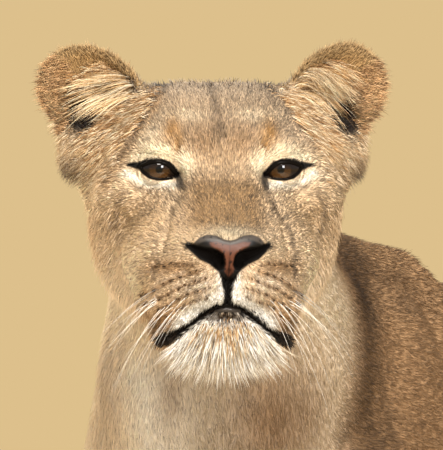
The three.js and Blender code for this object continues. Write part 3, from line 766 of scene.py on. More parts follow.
def markLips(lay, p, h):
    # The black groove from the nose to the mouth, and the ragged black line of the lips.
    x, y, z, front = frontOf(h)
    outside = insideOf(x, z, face["pink"]) > 0.5
    band = np.interp(z, [-126, -120, -113, -104, -97, -90], [8.0, 4.0, 3.4, 4.6, 7.6, 8.5])
    groove = smooth(band + 1.2, band - 0.6, x + 0.8 * wave(p, 2.6, 15))
    lay("black", groove * (y < -70) * (z > -128) * (z < -88) * outside)
    mouth, along = strokeDistance(x, z, face["mouth"])
    width = np.interp(along, [0, 0.15, 0.4, 0.75, 0.9, 1], [4.6, 3.5, 2.9, 3.3, 5.2, 3.6])
    lay("black", (y < -20) * front * smooth(width + 1.2, width - 0.6, mouth + 1.7 * wave(p, 2.6, 14)))

def onEar(h, side, foot, reach):
    # The share of an ear, from foot upwards and within reach of its middle, and places in its own frame.
    e = toEar(h, side)
    share = smooth(8, 2, earDistance(h, side)) * smooth(foot, foot + 18, e[:, 2])
    return e, share * (np.linalg.norm(e, axis=1) < reach)

def markEars(lay, h, normal, facing):
    x, z = np.abs(fromMidline(h)), h[:, 2]
    for side in (1, -1):
        e, share = onEar(h, side, -34, 75)
        inward = smooth(-0.1, 0.4, -(normal @ headAxes.T @ earAxes(side))[:, 1])
        lay("earRim", share)
        fromRim = smooth(0.82, 0.6, np.hypot(e[:, 0], e[:, 2]) / earForm["radius"])
        lay("earInner", share * inward * fromRim * 0.9)
        # Painted shade deep inside the ear.
        lay("earHollow", share * inward * bump(e[:, 0] * side, e[:, 2], (10, -14), 17, 24) * 1.5)
        lay("earBack", share * (1 - inward) * bump(e[:, 0], e[:, 2], (0, -8), 30, 24) * 0.9)
    # Painted shade in the hollow at each ear's opening, seen from the front.
    left, right = (bump(x, z, hollowPlace[side], 16, 22, 18) for side in (1, -1))
    hollow = np.where(h[:, 0] > 0, left, right) * (h[:, 1] < 110) * smooth(-0.2, 0.3, facing)
    lay("earHollow", hollow * 1.9)

def markings(p, normal):
    h = toHead(p)
    facing = -(normal @ headAxes.T)[:, 1]  # 1 where the surface looks the way the face does
    colour = np.tile(linear(tint["flank"]), (len(p), 1))

    def lay(name, amount):
        colour[:] += np.clip(amount, 0, 1)[:, None] * (linear(tint[name]) - colour)

    markBody(lay, p, normal)
    markNeck(lay, p, h, normal, facing)
    markFace(lay, p, h)
    markMuzzle(lay, p, h)
    markCreases(lay, p, h)
    markWhiskerRows(lay, p, h)
    markEyes(lay, h)
    markNose(lay, p, h)
    markLips(lay, p, h)
    markEars(lay, h, normal, facing)
    patches = 0.2 + 0.8 * smooth(260, 60, p[:, 1])
    # The body grows lighter towards the rump, so the shoulders keep a painted shade; the waves are the coat's
    # uneven tone.
    shade = 1 + 0.22 * smooth(-40, 260, p[:, 1]) + 0.05 * wave(p, 46, 1)
    shade += patches * (0.07 * wave(p, 13, 2) + 0.06 * wave(p, 5, 3))
    return np.clip(colour * shade[:, None], 0, 1)

def setColours(mesh, colours):
    layer = mesh.color_attributes.new("coatColour", "FLOAT_COLOR", "POINT")
    opaque = np.column_stack([colours, np.ones(len(colours))])
    layer.data.foreach_set("color", opaque.astype(np.float32).ravel())

skinPoints = toBody(readMesh(skin.data))
skinNormals = vertexNormals(skin.data)
skinColours = markings(skinPoints, skinNormals)
print("skin coloured")

# Short guard hairs lie flat from the nose back over the head, down the legs and along the body.
# Lengths are in mm and the lift in degrees. A cover of 1 hides the skin once, and a piece is a number
# of tufts. The belly's hair is longer than the back's by the length given.
coat = {
    "back": 18, "belly": 7, "neck": 15, "leg": 16, "paw": 8, "ear": 8.5, "face": 6.8, "lift": 14.0,
    "faceCover": 2.55, "bodyCover": 1.6, "jitter": 11.0, "piece": 48000,
}

skin.data.calc_loop_triangles()
corners = np.empty(len(skin.data.loop_triangles) * 3, np.int32)
skin.data.loop_triangles.foreach_get("vertices", corners)
corners = corners.reshape(-1, 3)
cornerLoops = np.empty(corners.size, np.int32)
skin.data.loop_triangles.foreach_get("loops", cornerLoops)
allSpots = np.empty(len(skin.data.loops) * 2, np.float32)
skin.data.uv_layers["OFBake"].data.foreach_get("uv", allSpots)
cornerSpots = allSpots.reshape(-1, 2)[cornerLoops.reshape(-1, 3)].astype(float)
places = skinPoints[corners]
faceAreas = np.linalg.norm(np.cross(places[:, 1] - places[:, 0], places[:, 2] - places[:, 0]), axis=1) / 2
print("skin triangles", len(corners))

def unit(v):
    return v / (np.linalg.norm(v, axis=1, keepdims=True) + 1e-9)

centres = places.mean(1)
centreNormals = unit(skinNormals[corners].mean(1))

def skinRoots(count, weights):
    # Random places on the skin, likelier where the weight of its faces is large.
    weights = weights * faceAreas
    chosen = rng.choice(len(corners), size=count, p=weights / weights.sum())
    a, b = rng.random(count), rng.random(count)
    flip = a + b > 1
    a[flip], b[flip] = 1 - a[flip], 1 - b[flip]
    shares = np.stack([1 - a - b, a, b], axis=1)[:, :, None]
    points = (skinPoints[corners[chosen]] * shares).sum(1)
    normals = unit((skinNormals[corners[chosen]] * shares).sum(1))
    return points, normals, (cornerSpots[chosen] * shares).sum(1)

def onSkin(lie, normal):
    # A direction laid flat on the skin.
    return unit(lie - normal * (lie * normal).sum(1, keepdims=True))

def turned(lie, normal, degrees):
    angle = np.radians(degrees)[:, None]
    return unit(lie * np.cos(angle) + np.cross(normal, lie) * np.sin(angle))

def faceShare(h):
    return smooth(110, 50, h[:, 1]) * smooth(-230, -170, h[:, 2])

def lieOfCoat(p, normal):
    h = toHead(p)
    s = np.sign(h[:, 0])
    lie = unit(h - [0, -134, -74])
    brow = bump(np.abs(h[:, 0]), h[:, 2], (44, 24), 22, 16) * (h[:, 1] < 30)
    lie = lie + brow[:, None] * np.stack([s * 0.5, np.full(len(p), 0.4), np.full(len(p), 0.9)], 1)
    cheek = smooth(60, 96, np.abs(h[:, 0])) * smooth(44, 10, h[:, 2])
    lie = unit(lie) + cheek[:, None] * np.stack([s * 0.4, np.full(len(p), 0.3), np.full(len(p), -0.9)], 1)
    lie = unit(lie) @ headAxes

    def turnTo(direction, share):
        lie[:] = lie + share[:, None] * (unit(np.array([direction], float)) - lie)

    turnTo([-0.36, 0.80, -0.62], smooth(70, 150, h[:, 1]))
    turnTo([-0.10, 0.30, -0.95], smooth(-150, -190, h[:, 2]) * (p[:, 1] < -200))
    turnTo([0, 1, -0.28], smooth(-300, 0, p[:, 1]))
    turnTo([0, 0.22, -1], smooth(640, 480, p[:, 2]) * smooth(30, 70, np.abs(p[:, 0])))
    turnTo([0, -0.8, -0.5], smooth(90, 50, p[:, 2]))
    turnTo([0, 0.35, -1], tailWeight(p))
    for side in (1, -1):
        e, share = onEar(h, side, -40, 78)
        fan = unit(e - [0, 0, -62]) @ earAxes(side).T @ headAxes
        lie += share[:, None] * (fan - lie)
    return onSkin(lie, normal)

def coatSizes(p, normal):
    # Length, width, lift in degrees and cover of the tufts at each place.
    h = toHead(p)
    x, y, z = np.abs(h[:, 0]), h[:, 1], h[:, 2]
    onFace = faceShare(h)
    near = smooth(360, 0, p[:, 1]) * smooth(480, 660, p[:, 2])
    length = coat["back"] + coat["belly"] * smooth(-0.3, -0.8, normal[:, 2])
    length += smooth(640, 480, p[:, 2]) * (coat["leg"] - length)
    length += smooth(150, 70, p[:, 2]) * (coat["paw"] - length)
    length += smooth(200, -100, p[:, 1]) * (p[:, 2] > 600) * (coat["neck"] - length)
    onCheek = smooth(20, 90, y) * smooth(30, -10, z)
    faceLength = coat["face"] + 5 * onCheek - 1.8 * smooth(-60, -90, y)
    length += onFace * (faceLength - length)
    opening = insideOf(x, z, face["opening"])
    length *= 1 - 0.62 * smooth(16, 3, opening) * (y < 30) * onFace
    ears = sum(onEar(h, side, -40, 78)[1] for side in (1, -1))
    length += np.clip(ears, 0, 1) * (coat["ear"] - length)
    width = length * (0.135 - 0.04 * near)
    width += onFace * (length * 0.22 - width)
    lift = coat["lift"] + 3 * onFace - 5 * smooth(150, 70, p[:, 2])
    cover = coat["bodyCover"] * (0.62 + 0.38 * near) + onFace * (coat["faceCover"] - coat["bodyCover"])
    return length, width, lift, cover

def bareShare(p, normal):
    # Where no hair grows: nose leather, lips, rims of the lids, pads.
    h = toHead(p)
    x, y, z = np.abs(fromMidline(h)), h[:, 1], h[:, 2]
    bare = smooth(0.5, -1.0, halfNose(fromMidline(h), z)) * (y < -78)
    bare = np.maximum(bare, smooth(2.8, 1.6, insideOf(x, z, face["opening"])) * (y < 30))
    mouth, along = strokeDistance(x, z, face["mouth"])
    bare = np.maximum(bare, (mouth < np.interp(along, [0, 0.5, 1], [2.4, 1.8, 2.6])) * (y < -20))
    philtrum, _ = strokeDistance(x, z, face["philtrum"])
    bare = np.maximum(bare, (philtrum < 1.4) * (y < -70))
    return np.maximum(bare, (normal[:, 2] < -0.6) * (p[:, 2] < 8))

# A lion's guard hair: matt, slightly waxy, with a soft sheen where it is seen edge on.
def hairMaterial(name, roughness, sheen):
    material, tree, shader = newMaterial(name)
    colour = addNode(tree, "ShaderNodeAttribute", {"attribute_name": "coatColour"})
    tree.links.new(colour.outputs["Color"], shader.inputs["Base Color"])
    shader.inputs["Roughness"].default_value = roughness
    shader.inputs["Specular IOR Level"].default_value = 0.1
    shader.inputs["Sheen Weight"].default_value = sheen
    shader.inputs["Sheen Roughness"].default_value = 0.5
    return material

guardHair = hairMaterial("guard hair", 0.62, 0.03)
# Long hair and whiskers are smoother than the short coat, and shine a little more.
longHair = hairMaterial("long pale hair", 0.5, 0.05)

def growTufts(name, roots, spots, start, over, length, width, colours, bend=None, segments=1,
              shades=(0.5, 1.16), material=guardHair):
    # Each tuft is a closed three-sided spike that sets off along start and bends over its length, with
    # over as its side away from the skin. In the bake it is a small patch at its root's place.
    count = len(roots)
    bend = -over * 0.10 if bend is None else bend
    side = unit(np.cross(over, start))
    levels = np.arange(segments) / segments
    rings = []
    for t in levels:
        middle = roots + (start * t + bend * t * t) * length[:, None]
        half = (width * 0.5 * (1 - t) ** 0.7)[:, None]
        rings += [middle - side * half, middle + side * half, middle + over * half * 0.8]
    rings[:3] = [r - over * 0.5 for r in rings[:3]]
    tip = roots + (start + bend) * length[:, None]
    perTuft = 3 * segments + 1
    places = np.stack(rings + [tip], axis=1).reshape(-1, 3)
    last = 3 * (segments - 1)
    pattern = [(0, 1, 2)] + [(last + i, last + 3, last + (i + 1) % 3) for i in range(3)]
    for base in range(0, last, 3):
        for i in range(3):
            a, b = base + i, base + (i + 1) % 3
            pattern += [(a, a + 3, b), (b, a + 3, b + 3)]
    faces = (np.array(pattern)[None] + np.arange(count)[:, None, None] * perTuft).reshape(-1, 3)
    mesh = bpy.data.meshes.new(name)
    mesh.vertices.add(len(places))
    mesh.vertices.foreach_set("co", toWorld(places).astype(np.float32).ravel())
    mesh.loops.add(faces.size)
    mesh.loops.foreach_set("vertex_index", faces.astype(np.int32).ravel())
    mesh.polygons.add(len(faces))
    mesh.polygons.foreach_set("loop_start", np.arange(0, faces.size, 3, dtype=np.int32))
    mesh.polygons.foreach_set("use_smooth", np.ones(len(faces), bool))
    mesh.update()
    # Each tuft darkens towards its root and brightens at its tip: partly the hair's own banding, partly
    # painted shade among the roots and painted light on the tips.
    shade = np.append(np.repeat(shades[0] + (shades[1] - shades[0]) * levels, 3), shades[1])
    setColours(mesh, np.clip((colours[:, None, :] * shade[None, :, None]).reshape(-1, 3), 0, 1))
    ring = [(-0.0015, 0), (0.0015, 0), (0, 0.0008)]
    patch = np.append(np.tile(ring, (segments, 1)), [(0, 0.003)], axis=0)
    patch[:-1, 1] += np.repeat(levels, 3) * 0.002
    layer = mesh.uv_layers.new(name="OFBake")
    uv = (spots[:, None, :] + patch[None]).reshape(-1, 2)
    layer.data.foreach_set("uv", uv[faces.ravel()].astype(np.float32).ravel())
    piece = newPiece(name, mesh)
    mesh.materials.append(material)
    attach(piece, "root")
    return piece

def lifted(lie, normal, degrees):
    angle = np.radians(degrees)[:, None]
    start = unit(lie * np.cos(angle) + normal * np.sin(angle))
    side = unit(np.cross(normal, start))
    return start, unit(np.cross(start, side))

def growCoat():
    length, width, lift, cover = coatSizes(centres, centreNormals)
    wanted = cover / (0.5 * length * width) * (1 - bareShare(centres, centreNormals))
    p, n, spots = skinRoots(int((wanted * faceAreas).sum()), wanted)
    keep = rng.random(len(p)) > bareShare(p, n)
    p, n, spots = p[keep], n[keep], spots[keep]
    length, width, lift, _ = coatSizes(p, n)
    length *= rng.uniform(0.7, 1.2, len(p))
    width *= rng.uniform(0.7, 1.25, len(p))
    lie = turned(lieOfCoat(p, n), n, rng.normal(0, coat["jitter"], len(p)))
    start, over = lifted(lie, n, lift * rng.uniform(0.5, 1.5, len(p)))
    h = toHead(p)
    onFace = faceShare(h)
    dark = 0.15 + 0.15 * smooth(300, 50, p[:, 1]) + 0.65 * onFace
    clump = 1 + (0.06 + 0.12 * onFace) * wave(p, 3.2, 23)
    colours = markings(p, n) * (clump * (1 + 0.40 * dark - dark * rng.random(len(p)) ** 2))[:, None]
    order = np.argsort(p[:, 1])
    pieces = math.ceil(len(p) / coat["piece"])
    for i, share in enumerate(np.array_split(order, pieces)):
        growTufts(f"coat_{i + 1}", p[share], spots[share], start[share], over[share], length[share],
                  width[share], colours[share], shades=(0.6, 1.13))
    print("coat grown", len(p), "tufts in", pieces, "pieces; head", int((h[:, 1] < 110).sum()),
          "front", int((p[:, 1] < 0).sum()))

growCoat()

def mixed(names, count):
    # A random mixture of colours, each tuft nearer one of them.
    colours = np.array([linear(tint[name] if name in tint else name) for name in names])
    return colours[rng.integers(0, len(names), count)] * rng.uniform(0.85, 1.12, count)[:, None]

def growLong(name, count, weight, direction, bend, length, width, colours, segments=4, scatter=12.0,
             lift=20.0, shades=(0.7, 1.1), free=0.6):
    # Long hair where the weight is over nothing. Directions and bends are given in the head's frame.
    h = toHead(centres)
    p, n, spots = skinRoots(count, weight(h, centres, centreNormals @ headAxes.T))
    h = toHead(p)
    towards = unit(direction(h)) @ headAxes
    lie = turned(onSkin(towards, n), n, rng.normal(0, scatter, count) + 16 * wave(p, 11.0, 31))
    start, _ = lifted(lie, n, lift * rng.uniform(0.3, 1.5, count))
    start = unit(start + free * towards)
    over = unit(np.cross(start, unit(np.cross(n, start))))
    size = (length(h) if callable(length) else length) * rng.uniform(0.6, 1.15, count)
    curve = bend(h) @ headAxes + rng.normal(0, 0.06, (count, 3))
    return growTufts(name, p, spots, start, over, size, width * rng.uniform(0.7, 1.2, count),
                     colours(h, count), curve, segments, shades, longHair)

def fanned(h, x, y, z):
    return np.stack([np.broadcast_to(v, len(h)) for v in (x, y, z)], axis=1).astype(float)

beard = {"count": 3400, "atLip": 7, "atChin": 26, "width": 1.0}

def chinHair():
    # The white beard: short under the lip, long at the chin's edge, fanning to the corners of the mouth.
    def weight(h, p, n):
        x, z = np.abs(fromMidline(h)), h[:, 2]
        lip = np.interp(x, [0, 20, 47, 60], [-133, -138, -156, -160])
        below = -176 + 0.012 * x ** 2
        return (z < lip) * (z > below) * smooth(45, 38, x) * (h[:, 1] < -10) * smooth(0.4, -0.2, n[:, 1])

    def length(h):
        grown = beard["atLip"] + (beard["atChin"] - beard["atLip"]) * smooth(-138, -158, h[:, 2])
        return grown * rng.uniform(0.6, 1.25, len(h))

    def colours(h, count):
        found = mixed(["#F8F4EC", "#E2D6C2", "#A69680", "#FFFFFF"], count)
        speckled = bump(h[:, 0] + 2, h[:, 2], (0, -140), 17, 10) * 1.2 > rng.random(count)
        found[speckled] = mixed(["padBrown", "#A88A66", "#C4A47C", "#E2CDA8"], speckled.sum())
        dark = bump(h[:, 0] + 2, h[:, 2], (0, -133), 22, 6) * 1.1 > rng.random(count)
        found[dark] = mixed(["umber", "black", "umber", "padBrown"], dark.sum())
        return found

    growLong("beard", beard["count"], weight, lambda h: fanned(h, fromMidline(h) * 0.022, -0.22, -1),
             lambda h: fanned(h, fromMidline(h) * 0.004, 0.10, -0.16), length, beard["width"],
             colours, segments=3, scatter=17, lift=26, shades=(0.58, 1.12), free=1.6)

def lipHair():
    # Dark hairs hanging over the corners of the lips.
    def weight(h, p, n):
        mouth, along = strokeDistance(np.abs(h[:, 0]), h[:, 2], face["mouth"])
        return smooth(6, 2, mouth) * (0.2 + 1.4 * smooth(0.75, 0.95, along)) * (h[:, 1] < 0)

    growLong("lip_hair", 1300, weight, lambda h: fanned(h, np.sign(h[:, 0]) * 0.8, -0.1, -0.7),
             lambda h: fanned(h, 0, 0.08, -0.1), lambda h: 3 + 6 * smooth(42, 56, np.abs(h[:, 0])), 1.0,
             lambda h, n: mixed(["black", "umber", "black"], n), segments=2, scatter=32, lift=30)

chinHair()
lipHair()

earHairs = {  # number of tufts, their length and their width in mm
    "sweep": (300, 44.0, 0.9), "locks": (2300, 17.0, 0.9), "inside": (1500, 11.0, 0.8),
    "root": (2200, 14.0, 1.0), "base": (1900, 12.0, 1.05),
}

def earHair(side, name):
    # Long pale locks from the front edge of an ear sweep across its opening and leave the hollow dark, where
    # its shade is painted on the skin.
    def place(h):
        # How far out from the ear's middle, towards its outer edge, and how far up.
        e = toEar(h, side)
        return e[:, 0] * side, e[:, 2]

    def close(h, x, z, reach, within):
        return smooth(reach, 3, earDistance(h, side)) * (np.hypot(x, z) < within)

    def gap(h, strength):
        hollow = bump(np.abs(h[:, 0]), h[:, 2], hollowPlace[side], 18, 25, 18)
        return np.clip(1 - strength * hollow, 0, 1)

    def opening(h, p, n):
        x, z = place(h)
        near = smooth(9, 3, earDistance(h, side)) * smooth(42, 28, np.hypot(x, z)) * smooth(28, 12, z)
        return near * smooth(18, -24, x) * (z > -30) * smooth(0.6, -0.2, n[:, 1]) * gap(h, 1.5)

    def inner(h, p, n):
        x, z = place(h)
        edge = (x < -12) * (x > -46) * (z > -40) * (z < 8)
        return close(h, x, z, 10, 52) * edge * smooth(0.6, -0.2, n[:, 1]) * gap(h, 1.6)

    def outer(h, p, n):
        x, z = place(h)
        near = close(h, x, z, 9, 54) * smooth(-36, -22, z)
        return near * smooth(2, 16, x) * smooth(0.6, -0.1, n[:, 1]) * gap(h, 1.2)

    def root(h, p, n):
        x, z = place(h)
        near = smooth(60, 84, h[:, 0] * side + 0.45 * h[:, 2] - 14)
        near *= smooth(94, 70, np.linalg.norm(toEar(h, side), axis=1)) * (toEar(h, side)[:, 1] < 20)
        return near * smooth(30, 14, x) * smooth(-4, -22, z) * smooth(0.3, -0.3, n[:, 1]) * gap(h, 1.6)

    def low(h, p, n):
        near = (h[:, 0] * side > 90) * (h[:, 2] < 44) * (h[:, 2] > -14) * (h[:, 1] < 96)
        return near * smooth(0.5, -0.2, n[:, 1]) * smooth(-14, 8, h[:, 2]) * gap(h, 1.4)

    def outwards(h):
        # The locks fan from the low inner corner of the ear.
        x, z = place(h)
        fan = np.stack([side * (x + 60), np.full(len(h), -24.0), z + 34], axis=1)
        return unit(fan) @ earAxes(side).T

    # Hairs darken towards a patch at the side of the face, level with the eyes.
    def withDarkPatch(names):
        def colours(h, count):
            dark = bump(np.abs(h[:, 0]), h[:, 2], (134, -2), 15, 16)
            clump = 1 + 0.25 * wave(h, 7, 52)
            return mixed(names, count) * (clump * (1 - 0.75 * dark))[:, None]
        return colours

    def locks(names):
        def colours(h, count):
            return mixed(names, count) * (1 + 0.34 * wave(h, 6.5, 51))[:, None]
        return colours

    def grow(kind, weight, direction, bend, colours, length=None, **settings):
        count, usual, width = earHairs[kind]
        piece = f"ear_{kind}_{name}"
        growLong(piece, count, weight, direction, bend, length or usual, width, colours, **settings)

    rise, fall, arch = (0.7, -1.1, -0.6) if side > 0 else (0.05, -0.4, -0.4)
    grow("sweep", inner, lambda h: fanned(h, side * 0.8, -0.55, rise),
         lambda h: fanned(h, side * 0.25, 0.15, fall),
         lambda h, n: mixed(["#FFF0D2", "#FFE6BE", "#EBC896", "#B08A5C"], n),
         segments=5, scatter=20, lift=26, shades=(0.6, 1.15), free=1.2)
    grow("locks", opening, outwards, lambda h: fanned(h, side * 0.1, 0.1, arch),
         locks(["#FFE8C4", "#E8C496", "#BE925F", "#8C6640", "#6E4C2E"]),
         lambda h: earHairs["locks"][1] + 6 * wave(h, 30, 8),
         segments=3, scatter=24, lift=24, shades=(0.6, 1.2))
    grow("inside", outer, lambda h: fanned(h, side * 0.9, -0.35, 0.35),
         lambda h: fanned(h, side * 0.1, 0.1, -0.3), locks(["#D8B286", "#BA9268", "#94704A", "#644A30"]),
         segments=2, scatter=30, lift=24, shades=(0.6, 1.15))
    grow("root", root, lambda h: fanned(h, side * 0.9, -0.2, 0.15 + 0.012 * (h[:, 2] - 40)),
         lambda h: fanned(h, side * 0.1, 0.1, -0.4), withDarkPatch(["#FFE9C8", "#E4C398", "#C09668", "#866440"]),
         segments=2, scatter=30, lift=22, shades=(0.6, 1.15))
    grow("base", low, lambda h: fanned(h, side * 0.7, 0.3, -0.55), lambda h: fanned(h, side * 0.1, 0.1, -0.2),
         withDarkPatch(["#FFE9CA", "#E2C49C", "cheek", "#A5855F"]), segments=2, scatter=28, lift=18)

longHairs = {  # number of tufts, their length and their width in mm
    "cheek_ruff": (3200, 17.0, 1.4), "throat_hair": (5200, 24.0, 1.3), "crown_hair": (1300, 9.5, 0.9),
}

def ruff():
    # Longer fur along the jaw's edge and down the throat.
    def jaw(h, p, n):
        x, z = np.abs(h[:, 0]), h[:, 2]
        return (x > 66) * smooth(-20, -60, z) * (z > -170) * (h[:, 1] > -6) * (h[:, 1] < 120)

    def jawColours(h, count):
        facingUp = np.tile([0.0, 0.0, 1.0], (count, 1))
        return markings(fromHead(h), facingUp) * rng.uniform(0.85, 1.15, count)[:, None]

    count, length, width = longHairs["cheek_ruff"]
    growLong("cheek_ruff", count, jaw, lambda h: fanned(h, np.sign(h[:, 0]) * 0.35, 0.75, -0.75),
             lambda h: fanned(h, 0, 0.1, -0.2), length, width, jawColours,
             segments=2, scatter=12, lift=14, shades=(0.7, 1.1))

    def throat(h, p, n):
        below = smooth(-150, -180, h[:, 2]) * (p[:, 2] > 620) * (h[:, 1] < 120) * (h[:, 1] > -24)
        return below * (np.abs(h[:, 0] + 14) < 92) * smooth(0.3, -0.3, n[:, 1])

    def throatColours(h, count):
        facingFront = np.tile([headAxes[1] * -1], (count, 1))
        found = markings(fromHead(h), facingFront)
        return found * (rng.uniform(0.7, 1.2, count) * (1 + 0.16 * wave(h * [1, 1, 0.3], 4.5, 61)))[:, None]

    count, length, width = longHairs["throat_hair"]
    growLong("throat_hair", count, throat, lambda h: fanned(h, 0.1 * np.sign(h[:, 0]), -0.05, -1),
             lambda h: fanned(h, 0, 0.06, -0.1), length, width, throatColours,
             segments=2, scatter=11, lift=15, shades=(0.6, 1.12))

def crownHair():
    def weight(h, p, n):
        x = np.abs(h[:, 0])
        return (h[:, 2] > 66) * (0.25 + smooth(44, 58, x)) * (x < 74) * (h[:, 1] > 30) * (h[:, 1] < 120)

    def colours(h, count):
        # The hairs darken as painted shade in the valley where the ear meets the crown.
        dark = bump(np.abs(h[:, 0]), h[:, 2], (51, 78), 10, 9)
        return mixed(["umber", "crown", "forehead", "#6B5A48"], count) * (1 - 0.7 * dark)[:, None]

    count, length, width = longHairs["crown_hair"]
    growLong("crown_hair", count, weight, lambda h: fanned(h, 0.2 * np.sign(h[:, 0]), 0.3, 1),
             lambda h: fanned(h, 0, 0.3, -0.1), length, width, colours,
             segments=2, scatter=20, lift=38, shades=(0.7, 1.0))

tailTuft = {"count": 3200, "above": 34, "tip": 60, "width": (1.6, 2.8)}

def tailHair():
    grows = (centres[:, 1] > 880) * smooth(340, 280, centres[:, 2])
    count = tailTuft["count"]
    p, n, spots = skinRoots(count, grows)
    onTip = (p[:, 2] > 215)[:, None]
    along = unit(np.where(onTip, [0.0, 0.45, -0.9], [-0.05, 1.0, -0.1]))
    start, over = lifted(turned(onSkin(along, n), n, rng.normal(0, 12, count)), n, np.full(count, 12.0))
    length = tailTuft["above"] + (tailTuft["tip"] - tailTuft["above"]) * smooth(260, 190, p[:, 2])
    length *= rng.uniform(0.6, 1.1, count)
    bend = np.tile([0, 0.0, -0.12], (count, 1))
    growTufts("tail_hair", p, spots, start, over, length, rng.uniform(*tailTuft["width"], count),
              mixed(["tuft", "#3B2A1D", "#1B130D"], count), bend, 2, (0.8, 1.1), longHair)

for side, name in ((1, "left"), (-1, "right")):
    earHair(side, name)
ruff()
crownHair()
tailHair()
print("long hair grown")

# In mm. The cornea is the rise of its dome.
eyeShape = {"radius": 20.0, "cornea": 1.2, "corneaWidth": 12.5, "iris": 10.8, "pupil": 3.3}
azimuth = math.radians(view["azimuth"])
gaze = np.array([math.sin(azimuth), -math.cos(azimuth), 0.0])

def wetMaterial(name, roughness, coatWeight):
    material, tree, shader = newMaterial(name)
    colour = addNode(tree, "ShaderNodeAttribute", {"attribute_name": "coatColour"})
    tree.links.new(colour.outputs["Color"], shader.inputs["Base Color"])
    shader.inputs["Roughness"].default_value = roughness
    shader.inputs["Coat Weight"].default_value = coatWeight
    shader.inputs["Coat Roughness"].default_value = 0.03
    shader.inputs["Specular IOR Level"].default_value = 0.01
    return material

# A living eye: brown iris under a wet clear cornea. The lid rims are black and moist.
eyeMaterial = wetMaterial("wet eye", 0.4, 0.75)
rimMaterial = wetMaterial("black rim of the lid", 0.4, 0.07)
lipMaterial = wetMaterial("moist lip", 0.3, 0.4)

def makeEye(name, middle):
    bm = bmesh.new()
    bmesh.ops.create_uvsphere(bm, u_segments=72, v_segments=120, radius=eyeShape["radius"] * 0.998 / 1000)
    turn = Vector((0, 0, 1)).rotation_difference(Vector(gaze)).to_matrix().to_4x4()
    bmesh.ops.transform(bm, matrix=Matrix.Translation(middle) @ turn, verts=bm.verts)
    mesh = bpy.data.meshes.new(name)
    bm.to_mesh(mesh)
    bm.free()
    d = (readMesh(mesh) - middle) * 1000
    ahead = d @ gaze
    right = d @ np.array([math.cos(azimuth), math.sin(azimuth), 0.0])
    away = np.hypot(right, d[:, 2])
    front = ahead > 0
    dome = np.where(front, np.maximum(0, 1 - (away / eyeShape["corneaWidth"]) ** 2), 0)
    writeMesh(mesh, readMesh(mesh) + gaze * (dome * eyeShape["cornea"] / 1000)[:, None])
    angle = np.arctan2(d[:, 2], right)
    streak = 0.5 + 0.25 * np.sin(angle * 31 + 2 * np.sin(angle * 7)) + 0.25 * np.sin(angle * 53 + 1.3)
    lower = smooth(4, -7, d[:, 2])
    colours = np.tile(linear("#120B08"), (len(d), 1))

    def lay(colour, amount):
        colours[:] += np.clip(amount, 0, 1)[:, None] * (linear(colour) - colours)

    onIris = smooth(eyeShape["iris"] + 0.4, eyeShape["iris"] - 0.5, away) * front
    lay("#140C06", onIris)
    # The iris is browner and lighter low down and near black at the top: the upper lid's shadow is painted on
    # it.
    lay("#33200E", onIris * lower * 0.85)
    lay("#5C3C18", onIris * streak * 0.28 * (0.3 + lower))
    # Painted shadow of the upper lid across the top of the iris.
    lay("#080504", onIris * smooth(1.5, 6.0, d[:, 2]) * 0.8)
    lay("#0C0705", onIris * smooth(8.2, 10.6, away) * 0.9)
    lay("#050403", smooth(eyeShape["pupil"] + 0.3, eyeShape["pupil"] - 0.3, away) * front)
    setColours(mesh, np.clip(colours, 0, 1))
    mesh.polygons.foreach_set("use_smooth", np.ones(len(mesh.polygons), bool))
    mesh.materials.append(eyeMaterial)
    piece = newPiece(name, mesh)
    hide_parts(name.replace("eyeball", "eye"))
    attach(piece, "root")

for name, centre in (("eyeball_left", eyeLeft), ("eyeball_right", eyeRight)):
    makeEye(name, centre + headBack * 0.001)

def tube(name, points, radii, material, closed=False, colour="#0C0907"):
    # A round bead along points in metres, with a radius in mm at each.
    curve = bpy.data.curves.new(name, "CURVE")
    curve.dimensions = "3D"
    curve.bevel_depth = 0.001
    curve.bevel_resolution = 3
    curve.use_fill_caps = True
    line = curve.splines.new("POLY")
    line.points.add(len(points) - 1)
    for point, place, radius in zip(line.points, points, radii):
        point.co = (*place, 1)
        point.radius = radius
    line.use_cyclic_u = closed
    piece = newPiece(name, curve)
    graph = bpy.context.evaluated_depsgraph_get()
    mesh = bpy.data.meshes.new_from_object(piece.evaluated_get(graph))
    bpy.data.objects.remove(piece)
    mesh.polygons.foreach_set("use_smooth", np.ones(len(mesh.polygons), bool))
    setColours(mesh, np.tile(linear(colour), (len(mesh.vertices), 1)))
    mesh.materials.clear()
    mesh.materials.append(material)
    made = newPiece(name, mesh)
    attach(made, "root")
    return made

def rounded(outline, count, closed=True):
    # Points at even steps along an outline, with its corners eased.
    points = np.array(outline, float)
    for _ in range(2):
        after = np.roll(points, -1, axis=0)
        eased = np.stack([points * 0.75 + after * 0.25, points * 0.25 + after * 0.75], axis=1)
        eased = eased.reshape(-1, 2)
        points = eased if closed else np.vstack([points[:1], eased[1:-3], points[-1:]])
    loop = np.vstack([points, points[:1]]) if closed else points
    steps = np.append(0, np.cumsum(np.hypot(*np.diff(loop, axis=0).T)))
    at = np.linspace(0, steps[-1], count, endpoint=not closed)
    return np.stack([np.interp(at, steps, loop[:, 0]), np.interp(at, steps, loop[:, 1])], axis=1)

skinTree = BVHTree.FromObject(skin, bpy.context.evaluated_depsgraph_get())

def placeOnFace(x, z):
    # Where a line straight back through x, z of the head's front view meets the skin, in its own frame.
    hit = skinTree.ray_cast(Vector(headPoint(x, -200, z)), Vector(headBack))[0]
    return toHead(toBody(np.array([hit[:]])))[0]

